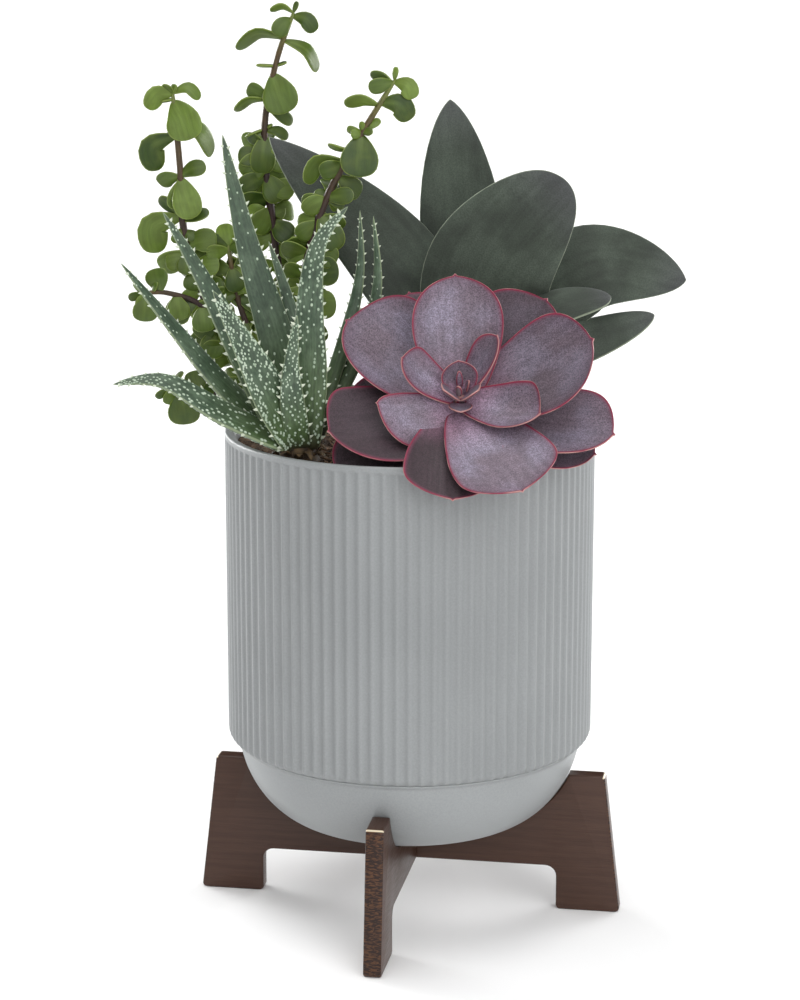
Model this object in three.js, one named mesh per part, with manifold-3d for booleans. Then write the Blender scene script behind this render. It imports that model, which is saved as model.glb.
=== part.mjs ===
// Succulent dish garden in a ribbed round pot on a crossed two-plank wooden stand.
// Millimetres, +Z up, the floor at z = 0, the pot's axis on the Z axis, the front toward -Y.
import * as THREE from "three";
import { mergeVertices } from "three/addons/utils/BufferGeometryUtils.js";
import Module from "manifold-3d";

const wasm = await Module();
wasm.setup();
const { Manifold } = wasm;

// Driving sizes of the pot
const POT_RADIUS = 65;
const RIM_Z = 175;
const WALL = 4;
const RIB_COUNT = 96;
const RIB_DEPTH = 0.8;
const RIB_BOTTOM_Z = 63.8;
const RIB_SHOULDER_Z = 66;
const RIB_TOP_Z = 171.8;
const BOWL_TOP_Z = 62.9;
const BOWL_TOP_RADIUS = 61.2;
const BOWL_TOP_LEAN_DEG = 7;
const BOWL_TOP_PULL = 15.5;
const BASE_Z = 33.9;
const BASE_RADIUS = 36;
const BASE_PULL = 12;
const FLOOR_THICKNESS = 5;
const POT_SEGMENTS = 40;
const BOWL_STEPS = 6;

// Driving sizes of the stand
const PLANK_THICKNESS = 6.3;
const STAND_HEIGHT = 51.1;
const FOOT_OUTER = 77;
const TOP_OUTER = 71.2;
const FOOT_INNER = 54;
const UNDERSIDE_Z = 16.3;
const FOOT_FILLET = 4;
const CORNER = 1.5;
const LAP_Z = 25;
const STAND_TURN_DEG = -9.5;

// Clear distance left between two separate pieces
const GAP = 0.3;

// Driving sizes of the soil and of the stems that stand in it
const SOIL_Z = 169.6;
const SOIL_SEGMENTS = 20;
const HOLE_CLEARANCE = 0.5;
const STEM_FOOT_Z = 157;

const UP = new THREE.Vector3(0, 0, 1);
const RIGHT = new THREE.Vector3(1, 0, 0);
const TO_VIEWER = new THREE.Vector3(0, -1, 0);

const group = new THREE.Group();

const materials = {
  ceramic: new THREE.MeshStandardMaterial({ color: 0x9a9f9f, roughness: 0.7 }),
  wood: new THREE.MeshStandardMaterial({ color: 0x3f2a1f, roughness: 0.6 }),
  soil: new THREE.MeshStandardMaterial({ color: 0x2a211b, roughness: 1 }),
  rosette_leaf: new THREE.MeshStandardMaterial({ color: 0x6f5560, roughness: 0.6 }),
  propeller_leaf: new THREE.MeshStandardMaterial({ color: 0x4a564c, roughness: 0.7 }),
  aloe_leaf: new THREE.MeshStandardMaterial({ color: 0x5d7a60, roughness: 0.6 }),
  bush_leaf: new THREE.MeshStandardMaterial({ color: 0x5c7f33, roughness: 0.5 }),
};

// Solids from three.js geometry
function solidFrom(geometry) {
  const plain = geometry.index ? geometry.toNonIndexed() : geometry.clone();
  plain.deleteAttribute("normal");
  plain.deleteAttribute("uv");
  const merged = mergeVertices(plain, 1e-4);
  const mesh = new wasm.Mesh({
    numProp: 3,
    vertProperties: new Float32Array(merged.attributes.position.array),
    triVerts: new Uint32Array(merged.index.array.filter(keepFullTriangles(merged))),
  });
  return new Manifold(mesh);
}

function keepFullTriangles(geometry) {
  const index = geometry.index.array;
  return (value, place) => {
    const first = place - (place % 3);
    const [a, b, c] = [index[first], index[first + 1], index[first + 2]];
    return a !== b && b !== c && a !== c;
  };
}

function addNode(name, solid, material) {
  const mesh = solid.getMesh();
  const geometry = new THREE.BufferGeometry();
  geometry.setAttribute("position", new THREE.BufferAttribute(new Float32Array(mesh.vertProperties), 3));
  geometry.setIndex(new THREE.BufferAttribute(new Uint32Array(mesh.triVerts), 1));
  geometry.computeVertexNormals();
  const node = new THREE.Mesh(geometry, material);
  node.name = name;
  group.add(node);
}

function lathe(points, segments) {
  const profile = points.map(([radius, z]) => new THREE.Vector2(radius, z));
  const geometry = new THREE.LatheGeometry(profile, segments);
  geometry.rotateX(Math.PI / 2);
  return geometry;
}

function cylinder(radius, x, y, low, high, sides) {
  const geometry = new THREE.CylinderGeometry(radius, radius, high - low, sides);
  geometry.rotateX(Math.PI / 2);
  geometry.translate(x, y, (low + high) / 2);
  return solidFrom(geometry);
}

function box(width, depth, low, high) {
  const geometry = new THREE.BoxGeometry(width, depth, high - low);
  geometry.translate(0, 0, (low + high) / 2);
  return solidFrom(geometry);
}

// A point of the bowl's underside, from the flat base at step 0 to the foot of the ribs
function bowlPoint(step) {
  const lean = THREE.MathUtils.degToRad(BOWL_TOP_LEAN_DEG);
  const curve = new THREE.CubicBezierCurve(
    new THREE.Vector2(BASE_RADIUS, BASE_Z),
    new THREE.Vector2(BASE_RADIUS + BASE_PULL, BASE_Z),
    new THREE.Vector2(BOWL_TOP_RADIUS - BOWL_TOP_PULL * Math.sin(lean), BOWL_TOP_Z - BOWL_TOP_PULL * Math.cos(lean)),
    new THREE.Vector2(BOWL_TOP_RADIUS, BOWL_TOP_Z),
  );
  const point = curve.getPoint(step / BOWL_STEPS);
  return [point.x, point.y];
}

// The pot
const VALLEY_RADIUS = POT_RADIUS - RIB_DEPTH;
const INNER_RADIUS = POT_RADIUS - WALL;
const INNER_FLOOR_Z = BASE_Z + FLOOR_THICKNESS;

// Radius and height down the inside of the bowl, from the straight wall to the flat floor
const INNER_BOWL = [[INNER_RADIUS, 70], [56, 58], [51.5, 48.5], [44, 41.5], [34, INNER_FLOOR_Z]];

function potProfile() {
  const points = [[0, BASE_Z]];
  for (let step = 0; step <= BOWL_STEPS; step += 1) {
    points.push(bowlPoint(step));
  }
  points.push([VALLEY_RADIUS - 0.2, RIB_SHOULDER_Z]);
  points.push([VALLEY_RADIUS - 0.2, RIM_Z - 2.8]);
  points.push([POT_RADIUS, RIM_Z - 2.4], [POT_RADIUS, RIM_Z - 0.8], [POT_RADIUS - 0.9, RIM_Z]);
  points.push([INNER_RADIUS + 0.9, RIM_Z], [INNER_RADIUS, RIM_Z - 0.9]);
  points.push(...INNER_BOWL, [0, INNER_FLOOR_Z]);
  return points;
}

function ribSleeve() {
  const segments = RIB_COUNT * 2;
  const chamferRadius = BOWL_TOP_RADIUS + 0.5;
  const profile = [
    [VALLEY_RADIUS - 2.4, RIB_SHOULDER_Z + 3],
    [chamferRadius - 1.6, RIB_BOTTOM_Z + 0.6],
    [chamferRadius, RIB_BOTTOM_Z],
    [VALLEY_RADIUS, RIB_SHOULDER_Z],
    [VALLEY_RADIUS, RIB_TOP_Z],
    [VALLEY_RADIUS - 2.4, RIB_TOP_Z],
    [VALLEY_RADIUS - 2.4, RIB_SHOULDER_Z + 3],
  ];
  const geometry = lathe(profile, segments);
  raiseRibs(geometry, chamferRadius);
  return solidFrom(geometry);
}

// Every second line of the sleeve stands out as a rib
function raiseRibs(geometry, chamferRadius) {
  const position = geometry.attributes.position;
  for (let i = 0; i < position.count; i += 1) {
    const x = position.getX(i);
    const y = position.getY(i);
    const radius = Math.hypot(x, y);
    const line = Math.round((Math.atan2(y, x) / (2 * Math.PI)) * RIB_COUNT * 2);
    const onRib = Math.abs(line) % 2 === 0;
    if (onRib && radius > chamferRadius - 0.1) {
      const depth = radius > VALLEY_RADIUS - 0.1 ? RIB_DEPTH : RIB_DEPTH * 0.6;
      const scale = (radius + depth) / radius;
      position.setXY(i, x * scale, y * scale);
    }
  }
}

function makePot() {
  const body = solidFrom(lathe(potProfile(), POT_SEGMENTS));
  return body.add(ribSleeve());
}

// The stand
function plankOutline() {
  const shape = new THREE.Shape();
  const corner = CORNER;
  shape.moveTo(FOOT_INNER + corner, 0);
  shape.lineTo(FOOT_OUTER - corner, 0);
  shape.quadraticCurveTo(FOOT_OUTER, 0, FOOT_OUTER - 0.2, corner);
  shape.lineTo(TOP_OUTER + 0.2, STAND_HEIGHT - corner);
  shape.quadraticCurveTo(TOP_OUTER, STAND_HEIGHT, TOP_OUTER - corner, STAND_HEIGHT);
  addCradle(shape);
  shape.lineTo(-TOP_OUTER + corner, STAND_HEIGHT);
  shape.quadraticCurveTo(-TOP_OUTER, STAND_HEIGHT, -TOP_OUTER - 0.2, STAND_HEIGHT - corner);
  shape.lineTo(-FOOT_OUTER + 0.2, corner);
  shape.quadraticCurveTo(-FOOT_OUTER, 0, -FOOT_OUTER + corner, 0);
  shape.lineTo(-FOOT_INNER - corner, 0);
  shape.quadraticCurveTo(-FOOT_INNER, 0, -FOOT_INNER, corner);
  shape.lineTo(-FOOT_INNER, UNDERSIDE_Z - FOOT_FILLET);
  shape.quadraticCurveTo(-FOOT_INNER, UNDERSIDE_Z, -FOOT_INNER + FOOT_FILLET, UNDERSIDE_Z);
  shape.lineTo(FOOT_INNER - FOOT_FILLET, UNDERSIDE_Z);
  shape.quadraticCurveTo(FOOT_INNER, UNDERSIDE_Z, FOOT_INNER, UNDERSIDE_Z - FOOT_FILLET);
  shape.lineTo(FOOT_INNER, corner);
  shape.quadraticCurveTo(FOOT_INNER, 0, FOOT_INNER + corner, 0);
  return shape;
}

// The upper edge follows the bowl from one side to the other
function addCradle(shape) {
  const points = cradlePoints();
  points.slice().reverse().forEach(([across, height]) => shape.lineTo(across, height));
  points.forEach(([across, height]) => shape.lineTo(-across, height));
}

// The bowl's own points moved out by the gap, up to the flat top of the plank
function cradlePoints() {
  const points = [];
  for (let step = 0; step <= BOWL_STEPS; step += 1) {
    const [radius, z] = bowlPoint(step);
    const before = bowlPoint(Math.max(step - 1, 0));
    const after = bowlPoint(Math.min(step + 1, BOWL_STEPS));
    const length = Math.hypot(after[0] - before[0], after[1] - before[1]);
    const out = step === 0 ? [0, -1] : [(after[1] - before[1]) / length, (before[0] - after[0]) / length];
    points.push([radius + GAP * 1.1 * out[0], z + GAP * 1.1 * out[1]]);
  }
  const low = points.filter(([, z]) => z < STAND_HEIGHT);
  const next = points[low.length];
  const last = low[low.length - 1];
  const share = (STAND_HEIGHT - last[1]) / (next[1] - last[1]);
  low.push([last[0] + (next[0] - last[0]) * share, STAND_HEIGHT]);
  return low;
}

function plank() {
  const geometry = new THREE.ExtrudeGeometry(plankOutline(), {
    depth: PLANK_THICKNESS,
    bevelEnabled: false,
    curveSegments: 4,
  });
  geometry.translate(0, 0, -PLANK_THICKNESS / 2);
  geometry.rotateX(Math.PI / 2);
  return solidFrom(geometry);
}

function makeSidePlank() {
  const slot = box(PLANK_THICKNESS + 2 * GAP, 20, LAP_Z - GAP / 2, STAND_HEIGHT);
  return plank().subtract(slot).rotate([0, 0, STAND_TURN_DEG]);
}

function makeFrontPlank() {
  const slot = box(PLANK_THICKNESS + 2 * GAP, 20, 0, LAP_Z + GAP / 2);
  return plank().subtract(slot).rotate([0, 0, STAND_TURN_DEG + 90]);
}

// Leaves and stems: a sphere stretched along a curve
function spineOf(points) {
  return points.map(([x, y, z]) => new THREE.Vector3(x, y, z));
}

function alongSpine(points, t) {
  const spans = points.length - 1;
  const place = Math.min(Math.max(t, 0), 0.999999) * spans;
  const span = Math.floor(place);
  const f = place - span;
  const at = (k) => points[Math.min(Math.max(k, 0), spans)];
  const [a, b, c, d] = [at(span - 1), at(span), at(span + 1), at(span + 2)];
  const blend = (p, q, r, s) => 0.5 * (2 * q + (r - p) * f
    + (2 * p - 5 * q + 4 * r - s) * f * f + (3 * q - p - 3 * r + s) * f * f * f);
  return new THREE.Vector3(
    blend(a.x, b.x, c.x, d.x), blend(a.y, b.y, c.y, d.y), blend(a.z, b.z, c.z, d.z));
}

function headingAt(points, t) {
  const ahead = alongSpine(points, Math.min(t + 0.01, 1));
  return ahead.sub(alongSpine(points, Math.max(t - 0.01, 0))).normalize();
}

function crossFrame(points, face, roll, t) {
  const heading = headingAt(points, t);
  const side = heading.clone().cross(face).normalize();
  const normal = side.clone().cross(heading);
  const turn = THREE.MathUtils.degToRad(roll);
  return {
    side: side.clone().multiplyScalar(Math.cos(turn)).addScaledVector(normal, Math.sin(turn)),
    normal: normal.clone().multiplyScalar(Math.cos(turn)).addScaledVector(side, -Math.sin(turn)),
  };
}

function leafPoint(leaf, t, across, through) {
  const { side, normal } = crossFrame(leaf.spine, leaf.face, leaf.roll, t);
  const halfWidth = leaf.halfWidth(t, across);
  const halfThick = (leaf.thick / 2) * leaf.fullness(t);
  return alongSpine(leaf.spine, t)
    .addScaledVector(side, halfWidth * across)
    .addScaledVector(normal, halfThick * through + leaf.cup * halfWidth * across * across);
}

// Both halves of a leaf alike
function evenSides(width, outline) {
  return (t) => (width / 2) * outline(t);
}

function leafSolid(leaf, around, along) {
  const geometry = new THREE.SphereGeometry(1, around, along);
  const position = geometry.attributes.position;
  for (let i = 0; i < position.count; i += 1) {
    const t = (1 - position.getY(i)) / 2;
    const ring = Math.sqrt(Math.max(0, 1 - position.getY(i) ** 2));
    const across = ring > 1e-6 ? position.getX(i) / ring : 0;
    const through = ring > 1e-6 ? -position.getZ(i) / ring : 0;
    const point = leafPoint(leaf, t, across, through);
    position.setXYZ(i, point.x, point.y, point.z);
  }
  return solidFrom(geometry);
}

// A round stem is a leaf as thick as it is wide
function stemSolid(points, radius, around, along) {
  const full = (t) => Math.pow(Math.max(0, 1 - Math.pow(Math.abs(2 * t - 1), 12)), 0.5);
  const stem = {
    spine: points, face: new THREE.Vector3(0.3, -1, 0.1), roll: 0, cup: 0,
    thick: 2 * radius, halfWidth: evenSides(2 * radius, full), fullness: full,
  };
  return leafSolid(stem, around, along);
}

function startTaper(t, length) {
  return Math.min(1, Math.sqrt(Math.max(t, 0) / length));
}

// The purple rosette, a row for each leaf: azimuth, lift, length, left and right half width, width at the base,
// widest place on the left and on the right, curl, sink, roll and cup
const ROSETTE_CENTRE = new THREE.Vector3(17, -40, 189.5);
const ROSETTE_TILT = 40;
const ROSETTE_LEAVES = [
  [353, 60, 10.8, 6.2, 6.2, 0.7, 0.5, 0.5, 0.1, -8, 0, 0.35],
  [266, 50, 6.2, 3, 3, 0.6, 0.4, 0.4, 0.1, -9, 0, 0.35],
  [82, 55, 5.9, 3, 3, 0.6, 0.4, 0.4, 0.1, -9, 0, 0.35],
  [286, 40, 24.5, 5.8, 8, 0.45, 0.62, 0.72, 0.12, -5, 10, 0.18],
  [40, 44, 24, 6.5, 4.5, 0.5, 0.62, 0.62, 0.12, -5, 15, 0.3],
  [116, 20, 29, 10, 8, 0.45, 0.75, 0.6, 0.08, -4, -12, 0.42],
  [259, 16, 28, 16, 4, 0.8, 0.45, 0.5, 0.02, -3, 22, 0.1],
  [357, 38, 43, 15.2, 15.8, 0.36, 0.6, 0.6, 0.12, -2, 0, 0.18],
  [156, 13, 47.6, 18, 17.5, 0.3, 0.68, 0.7, 0.05, -2, 0, 0.18],
  [74.5, 26, 49, 17.5, 19, 0.36, 0.66, 0.62, 0.08, -1, 0, 0.18],
  [303.5, 20, 47.5, 13.5, 23, 0.36, 0.6, 0.62, 0.1, 0, 0, 0.18],
  [253, 8, 45, 17.5, 16.5, 0.5, 0.45, 0.74, 0.08, 1, 0, 0.18],
  [184, 9, 41, 16, 17, 0.4, 0.6, 0.72, -0.07, 1, 0, 0.18],
  [107, 8, 52, 16.5, 12, 0.36, 0.66, 0.55, 0.06, 1, 0, 0.18],
  [39, 19, 48, 19, 13, 0.36, 0.66, 0.62, 0.1, 1, 0, 0.18],
  [110, 2, 46.4, 9, 13, 0.4, 0.62, 0.6, -0.02, 5, 0, 0.18],
  [340, 9, 50, 13, 13, 0.36, 0.62, 0.62, 0.08, 3, 0, 0.18],
  [82, 0, 38, 13, 13, 0.36, 0.62, 0.62, 0.05, 5, 0, 0.18],
  [282, 0, 38, 13, 13, 0.36, 0.62, 0.62, 0.05, 5, 0, 0.18],
  [246, -2, 45, 12, 12, 0.36, 0.62, 0.62, 0.03, 5, 0, 0.18],
];
const ROSETTE_STEM = [[16, -33, STEM_FOOT_Z], [16, -33, 170], [16, -33.5, 175], [17, -39, 187], [17, -47, 199]];

function petalOutline(t, start, widest) {
  if (t >= 1) return 0;
  if (t < widest) {
    const s = t / widest;
    return (start + (1 - start) * (1.5 * s - 0.5 * s ** 3)) * startTaper(t, 0.05);
  }
  const x = (t - widest) / (0.97 - widest);
  const round = x < 1 ? (1 - x ** 2.3) ** 0.68 : 0;
  return t > 0.9 ? Math.max(round, (0.06 * (1 - t)) / 0.035) : round;
}

function petalFullness(t) {
  return (0.95 - 0.5 * t) * Math.sqrt(Math.max(0, 1 - Math.pow(t, 8))) * startTaper(t, 0.05);
}

function petal([azimuth, lift, length, left, right, start, widestLeft, widestRight, curl, sink, roll, cup]) {
  const tilt = THREE.MathUtils.degToRad(ROSETTE_TILT);
  const axis = new THREE.Vector3(0, -Math.sin(tilt), Math.cos(tilt));
  const upward = new THREE.Vector3(0, Math.cos(tilt), Math.sin(tilt));
  const a = THREE.MathUtils.degToRad(azimuth);
  const e = THREE.MathUtils.degToRad(lift);
  const outward = RIGHT.clone().multiplyScalar(Math.sin(a)).addScaledVector(upward, Math.cos(a));
  const along = outward.clone().multiplyScalar(Math.cos(e)).addScaledVector(axis, Math.sin(e));
  const face = axis.clone().multiplyScalar(Math.cos(e)).addScaledVector(outward, -Math.sin(e));
  const base = ROSETTE_CENTRE.clone().addScaledVector(axis, -sink).addScaledVector(outward, 2);
  const middle = base.clone().addScaledVector(along, length / 2).addScaledVector(face, -curl * length * 0.6);
  const halfWidth = (t, across) => (across < 0
    ? left * petalOutline(t, start, widestLeft) : right * petalOutline(t, start, widestRight));
  return {
    spine: [base, middle, base.clone().addScaledVector(along, length)],
    face, roll, cup, thick: 3.2, halfWidth, fullness: petalFullness,
  };
}

function makeRosette() {
  const parts = ROSETTE_LEAVES.map((row) => leafSolid(petal(row), 6, row[2] > 20 ? 7 : 5));
  const core = new THREE.SphereGeometry(7.5, 10, 8);
  core.translate(ROSETTE_CENTRE.x, ROSETTE_CENTRE.y - 1, ROSETTE_CENTRE.z - 1);
  parts.push(solidFrom(core));
  parts.push(stemSolid(spineOf(ROSETTE_STEM), 4, 8, 8));
  return Manifold.union(parts);
}

// The propeller plant: spine points, facing, width and point of each leaf
const PROPELLER_LEAVES = [
  [[[14, 10, 198], [-7, 22, 233], [-50.5, 38, 273]], [0.2, -1, 0.25], 33, 1.0],
  [[[26, 12, 200], [28.4, 6, 231.5], [53.8, 6, 261.5]], [0, -1, 0], 45.5, 0.55],
  [[[24, 19, 196], [18.2, 32, 244], [14.1, 38, 286.4]], [0.1, -1, 0.1], 30.5, 0.85],
  [[[32, 20, 200], [62, 18, 228.5], [98, 22, 224]], [0.05, -1, 0.35], 32, 0.8],
  [[[30, 4, 200], [50, -1, 217], [70, 2, 221]], [0, -0.6, 0.8], 17, 0.6],
  [[[32, 10, 194], [60, 10, 203.3], [86.5, 16, 212.5]], [0, -0.8, 0.6], 17, 0.7],
  [[[20, 13, 188], [8, 7, 204], [2, 5, 216]], [0.3, -1, 0.3], 15, 0.7],
  [[[24, 20, 194], [10, 54, 222], [20, 80, 226]], [0, -0.3, 1], 27, 0.8],
  [[[26, 20, 184], [46, 36, 198], [62, 58, 212]], [-0.4, -0.5, 1], 24, 0.8],
  [[[20, 20, 183], [2, 30, 192], [-17, 33, 203]], [0.3, -0.6, 1], 18, 0.8],
];

function propellerFullness(t) {
  return t > 0 && t < 1 ? Math.pow(Math.sin(Math.PI * Math.pow(t, 0.8)), 0.4) : 0;
}

function propellerOutline(point) {
  return (t) => (t > 0 && t < 1
    ? Math.pow(Math.sin(Math.PI * Math.pow(t, 0.8)), 0.5 + (point - 0.5) * t) : 0);
}

function propellerLeaf([points, facing, width, point]) {
  return {
    spine: spineOf(points), face: new THREE.Vector3(...facing).normalize(), roll: 0, thick: 4.4,
    cup: 0.06, halfWidth: evenSides(width, propellerOutline(point)), fullness: propellerFullness,
  };
}

function makePropellerPlant() {
  const parts = PROPELLER_LEAVES.map((row) => leafSolid(propellerLeaf(row), 8, 8));
  parts.push(stemSolid(spineOf([[24, 17, STEM_FOOT_Z], [24, 17, 180], [25, 16, 211]]), 7.5, 12, 6));
  return Manifold.union(parts);
}

// The aloe: spine points, facing and width of each leaf
const ALOE_LEAVES = [
  [[[-38, -30, 175], [-45, -28, 210], [-55, -28, 245], [-62.5, -28, 280.5]], [0.2, -1, 0.1], 15],
  [[[-42, -34, 175], [-57, -37, 208], [-69, -38, 233], [-82, -38, 256]], [0.5, -1, 0.5], 12],
  [[[-42, -34, 176], [-63, -35, 196], [-80.5, -34, 217.3], [-97, -32, 238]], [0.4, -0.6, 0.8], 11],
  [[[-41, -37, 176.5], [-62, -44, 190.5], [-82, -46, 200.8], [-99, -46, 199.2]], [0.1, -0.6, 1], 11],
  [[[-35, -37, 175], [-33, -43, 200], [-33, -44, 226], [-30, -43, 246], [-20.5, -40, 258]], [-0.1, -1, 0.1], 13],
  [[[-35, -31, 175], [-36, -24, 200], [-42, -20, 225], [-48, -18, 243.5]], [0.2, -1, 0], 8],
  [[[-34, -31, 175], [-22, -18, 210], [-17, -14, 232], [-17, -14, 253.5]], [-0.2, -1, 0], 6],
  [[[-33, -29, 175], [-16, -16, 208], [-11, -12, 228], [-12.5, -10, 251]], [-0.3, -1, 0], 6.5],
  [[[-38, -37, 177], [-47, -49, 197], [-55, -53, 214], [-64.5, -54, 232]], [0.4, -1, 0.3], 15],
  [[[-37, -38, 176], [-39, -49, 194], [-39, -53, 208], [-37, -53, 223.7]], [0, -1, 0.2], 10],
];
const ALOE_CENTRE = [-38, -34];

function aloeOutline(t) {
  if (t >= 1) return 0;
  const spread = 0.66 + 0.34 * Math.sin(Math.min(1, t / 0.35) * (Math.PI / 2));
  return spread * Math.pow(1 - Math.pow(t, 1.5), 0.85) * startTaper(t, 0.04);
}

function aloeLeaf([points, facing, width]) {
  return {
    spine: spineOf(points), face: new THREE.Vector3(...facing).normalize(), roll: 0, width, thick: 5,
    cup: 0.22, halfWidth: evenSides(width, aloeOutline), fullness: aloeOutline,
  };
}

// A tooth stands out of a leaf's edge and leans toward the tip
function toothSolid(leaf, t, across) {
  const height = 2.4;
  const point = leafPoint(leaf, t, across * 0.96, 0);
  const { side } = crossFrame(leaf.spine, leaf.face, leaf.roll, t);
  const lean = side.multiplyScalar(across).addScaledVector(headingAt(leaf.spine, t), 0.45).normalize();
  const geometry = new THREE.ConeGeometry(0.9, height, 3);
  geometry.translate(0, height / 2 - 0.6, 0);
  geometry.applyQuaternion(new THREE.Quaternion().setFromUnitVectors(new THREE.Vector3(0, 1, 0), lean));
  geometry.translate(point.x, point.y, point.z);
  return solidFrom(geometry);
}

function leafTeeth(leaf) {
  const teeth = [];
  const count = 3;
  for (let k = 0; k < count; k += 1) {
    const t = 0.34 + (0.46 * k) / (count - 1);
    teeth.push(toothSolid(leaf, t, 1), toothSolid(leaf, t + 0.03, -1));
  }
  return teeth;
}

function makeAloe() {
  const leaves = ALOE_LEAVES.map(aloeLeaf);
  const parts = leaves.map((leaf) => leafSolid(leaf, 6, 8));
  leaves.filter((leaf) => leaf.width > 10).forEach((leaf) => parts.push(...leafTeeth(leaf)));
  parts.push(cylinder(8, ALOE_CENTRE[0], ALOE_CENTRE[1], STEM_FOOT_Z, 179, 16));
  return Manifold.union(parts);
}

// The elephant bush: each stem's points, then a row for each of its leaves:
// place on the stem, picture angle, length, tilt, roll, width as a share of the length, and upward bow
const STEM_ONE = [[-36, 14, 171], [-58, 16, 190], [-70, 15, 212], [-79, 15, 240], [-80.5, 15, 266], [-82.5, 15, 291]];
const STEM_ONE_LEAVES = [
  [0.985, 239, 10, 15, 20, 0.75, 0.3], [0.99, 102, 9.5, 0, 30, 0.5, 0.32],
  [0.962, 158, 15, 18, 0, 0.84, 0.05], [0.92, 141, 21, -25, 45, 0.38, 0.12],
  [0.87, 211, 15, -10, 15, 0.62, 0.38], [0.765, 250, 8.5, -15, 20, 0.75, 0.1],
  [0.765, 69, 10, 10, 25, 0.62, 0.1], [0.762, 163, 15.5, 22, 5, 0.66, 0],
  [0.755, 190, 10.5, 5, 20, 0.75, 0], [0.647, 313, 11.3, 0, 35, 0.55, 0.1],
  [0.645, 70, 10.3, 10, 40, 0.5, 0], [0.655, 216, 16.5, -10, 10, 0.66, 0.38],
  [0.58, 80, 11, 10, 15, 0.78, 0.1], [0.565, 240, 12.2, -10, 15, 0.72, 0],
  [0.565, 186, 8.6, 25, 0, 0.85, 0], [0.52, 185, 7.5, 15, 10, 0.95, 0], [0.45, 195, 8, 15, 20, 0.9, 0],
  [0.40, 212, 9, 20, 0, 0.95, 0], [0.53, 85, 10, 15, 20, 0.8, 0], [0.50, 115, 11, -10, 15, 0.8, 0],
  [0.46, 60, 9, 10, 30, 0.8, 0], [0.42, 100, 10, 20, 20, 0.8, 0], [0.36, 200, 11, 30, 10, 0.84, 0],
];
const STEM_TWO = [
  [-32, 45, 171], [-41.5, 48, 198], [-47, 51, 217], [-50.5, 55, 242], [-53, 58, 262], [-52.5, 59, 280],
  [-48, 60, 300], [-42, 60, 316],
];
const STEM_TWO_LEAVES = [
  [0.99, 275, 8.5, 0, 40, 0.4, 0.25], [0.99, 20, 4.5, 10, 20, 0.5, 0], [0.975, 125, 10, 10, 10, 0.62, 0.2],
  [0.965, 222, 8.5, 20, 10, 0.8, 0.1], [0.925, 257, 17.5, 0, 50, 0.42, 0.24],
  [0.92, 133, 17, -10, 50, 0.42, 0.18], [0.85, 272, 7, 0, 75, 0.5, 0], [0.83, 162, 15.5, 20, 0, 0.84, 0],
  [0.77, 298, 8.5, 0, 15, 0.75, 0], [0.765, 250, 13, -10, 50, 0.4, 0.18], [0.75, 125, 12, -20, 30, 0.45, 0],
  [0.685, 248, 7.5, 0, 75, 0.5, 0], [0.68, 108, 9, 0, 40, 0.55, 0.15], [0.67, 184, 14.5, 12, 10, 0.66, 0],
  [0.64, 300, 7, 0, 30, 0.7, 0], [0.62, 218, 12, 15, 5, 0.85, 0], [0.60, 115, 8.5, -10, 20, 0.7, 0],
  [0.555, 150, 11, 15, 5, 0.85, 0], [0.53, 240, 10.5, 0, 10, 0.85, 0], [0.50, 90, 10, 10, 15, 0.8, 0],
  [0.45, 215, 11, 20, 10, 0.8, 0], [0.42, 130, 10, 20, 10, 0.85, 0],
];
const STEM_THREE = [[-32, 12, 171], [-36, 9, 200], [-37, 8, 226], [-31, 8, 250], [-20.5, 8, 271], [-5, 8, 296]];
const STEM_THREE_LEAVES = [
  [0.98, 290, 8.5, -10, 30, 0.5, 0.1], [0.985, 258, 9.2, 15, 10, 0.62, 0],
  [0.985, 132, 8.8, 10, 10, 0.75, 0.25], [0.92, 122, 11.5, 0, 10, 0.72, 0.28],
  [0.915, 271, 12, -5, 30, 0.45, 0.15], [0.855, 58, 7, -10, 30, 0.5, 0], [0.80, 285, 8.5, -10, 60, 0.5, 0],
  [0.845, 183, 15.5, 25, 0, 0.86, 0], [0.77, 238, 16, -10, 20, 0.4, 0.3], [0.76, 252, 9, 10, 15, 0.8, 0],
  [0.75, 92, 9, -20, 30, 0.7, 0], [0.72, 130, 11, -20, 20, 0.7, 0], [0.645, 80, 10, 15, 10, 0.62, 0],
  [0.64, 262, 8.5, 0, 10, 0.8, 0], [0.60, 158, 14.5, 10, 10, 0.68, 0], [0.57, 235, 9, 10, 15, 0.8, 0],
  [0.50, 120, 11, 15, 5, 0.8, 0], [0.48, 280, 10, 0, 30, 0.8, 0], [0.42, 95, 12, 20, 5, 0.8, 0],
];
const TWIG_FOUR = [[-56, 16, 189], [-63, 12, 205], [-73, 8, 217], [-85, 5, 222], [-94, 3, 222]];
const TWIG_FOUR_LEAVES = [
  [0.92, 184, 10, 10, 5, 0.9, 0], [0.80, 348, 8.5, -5, 10, 1.0, 0], [0.68, 172, 9, 10, 5, 0.95, 0],
  [0.50, 172, 9.5, 20, 10, 0.9, 0],
];
const TWIG_FIVE = [[-46, 15, 179], [-60, 8, 184.5], [-73, 4, 188.5], [-85, 2, 190.5]];
const TWIG_FIVE_LEAVES = [
  [0.98, 42, 7.5, -10, 60, 0.45, 0], [0.70, 350, 8, 10, 0, 1.0, 0], [0.84, 172, 11.5, 10, 0, 0.95, 0],
];
const STEM_SIX = [[-34, 13, 171], [-50, 13, 192], [-60, 14, 216], [-64, 14, 238]];
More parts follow.
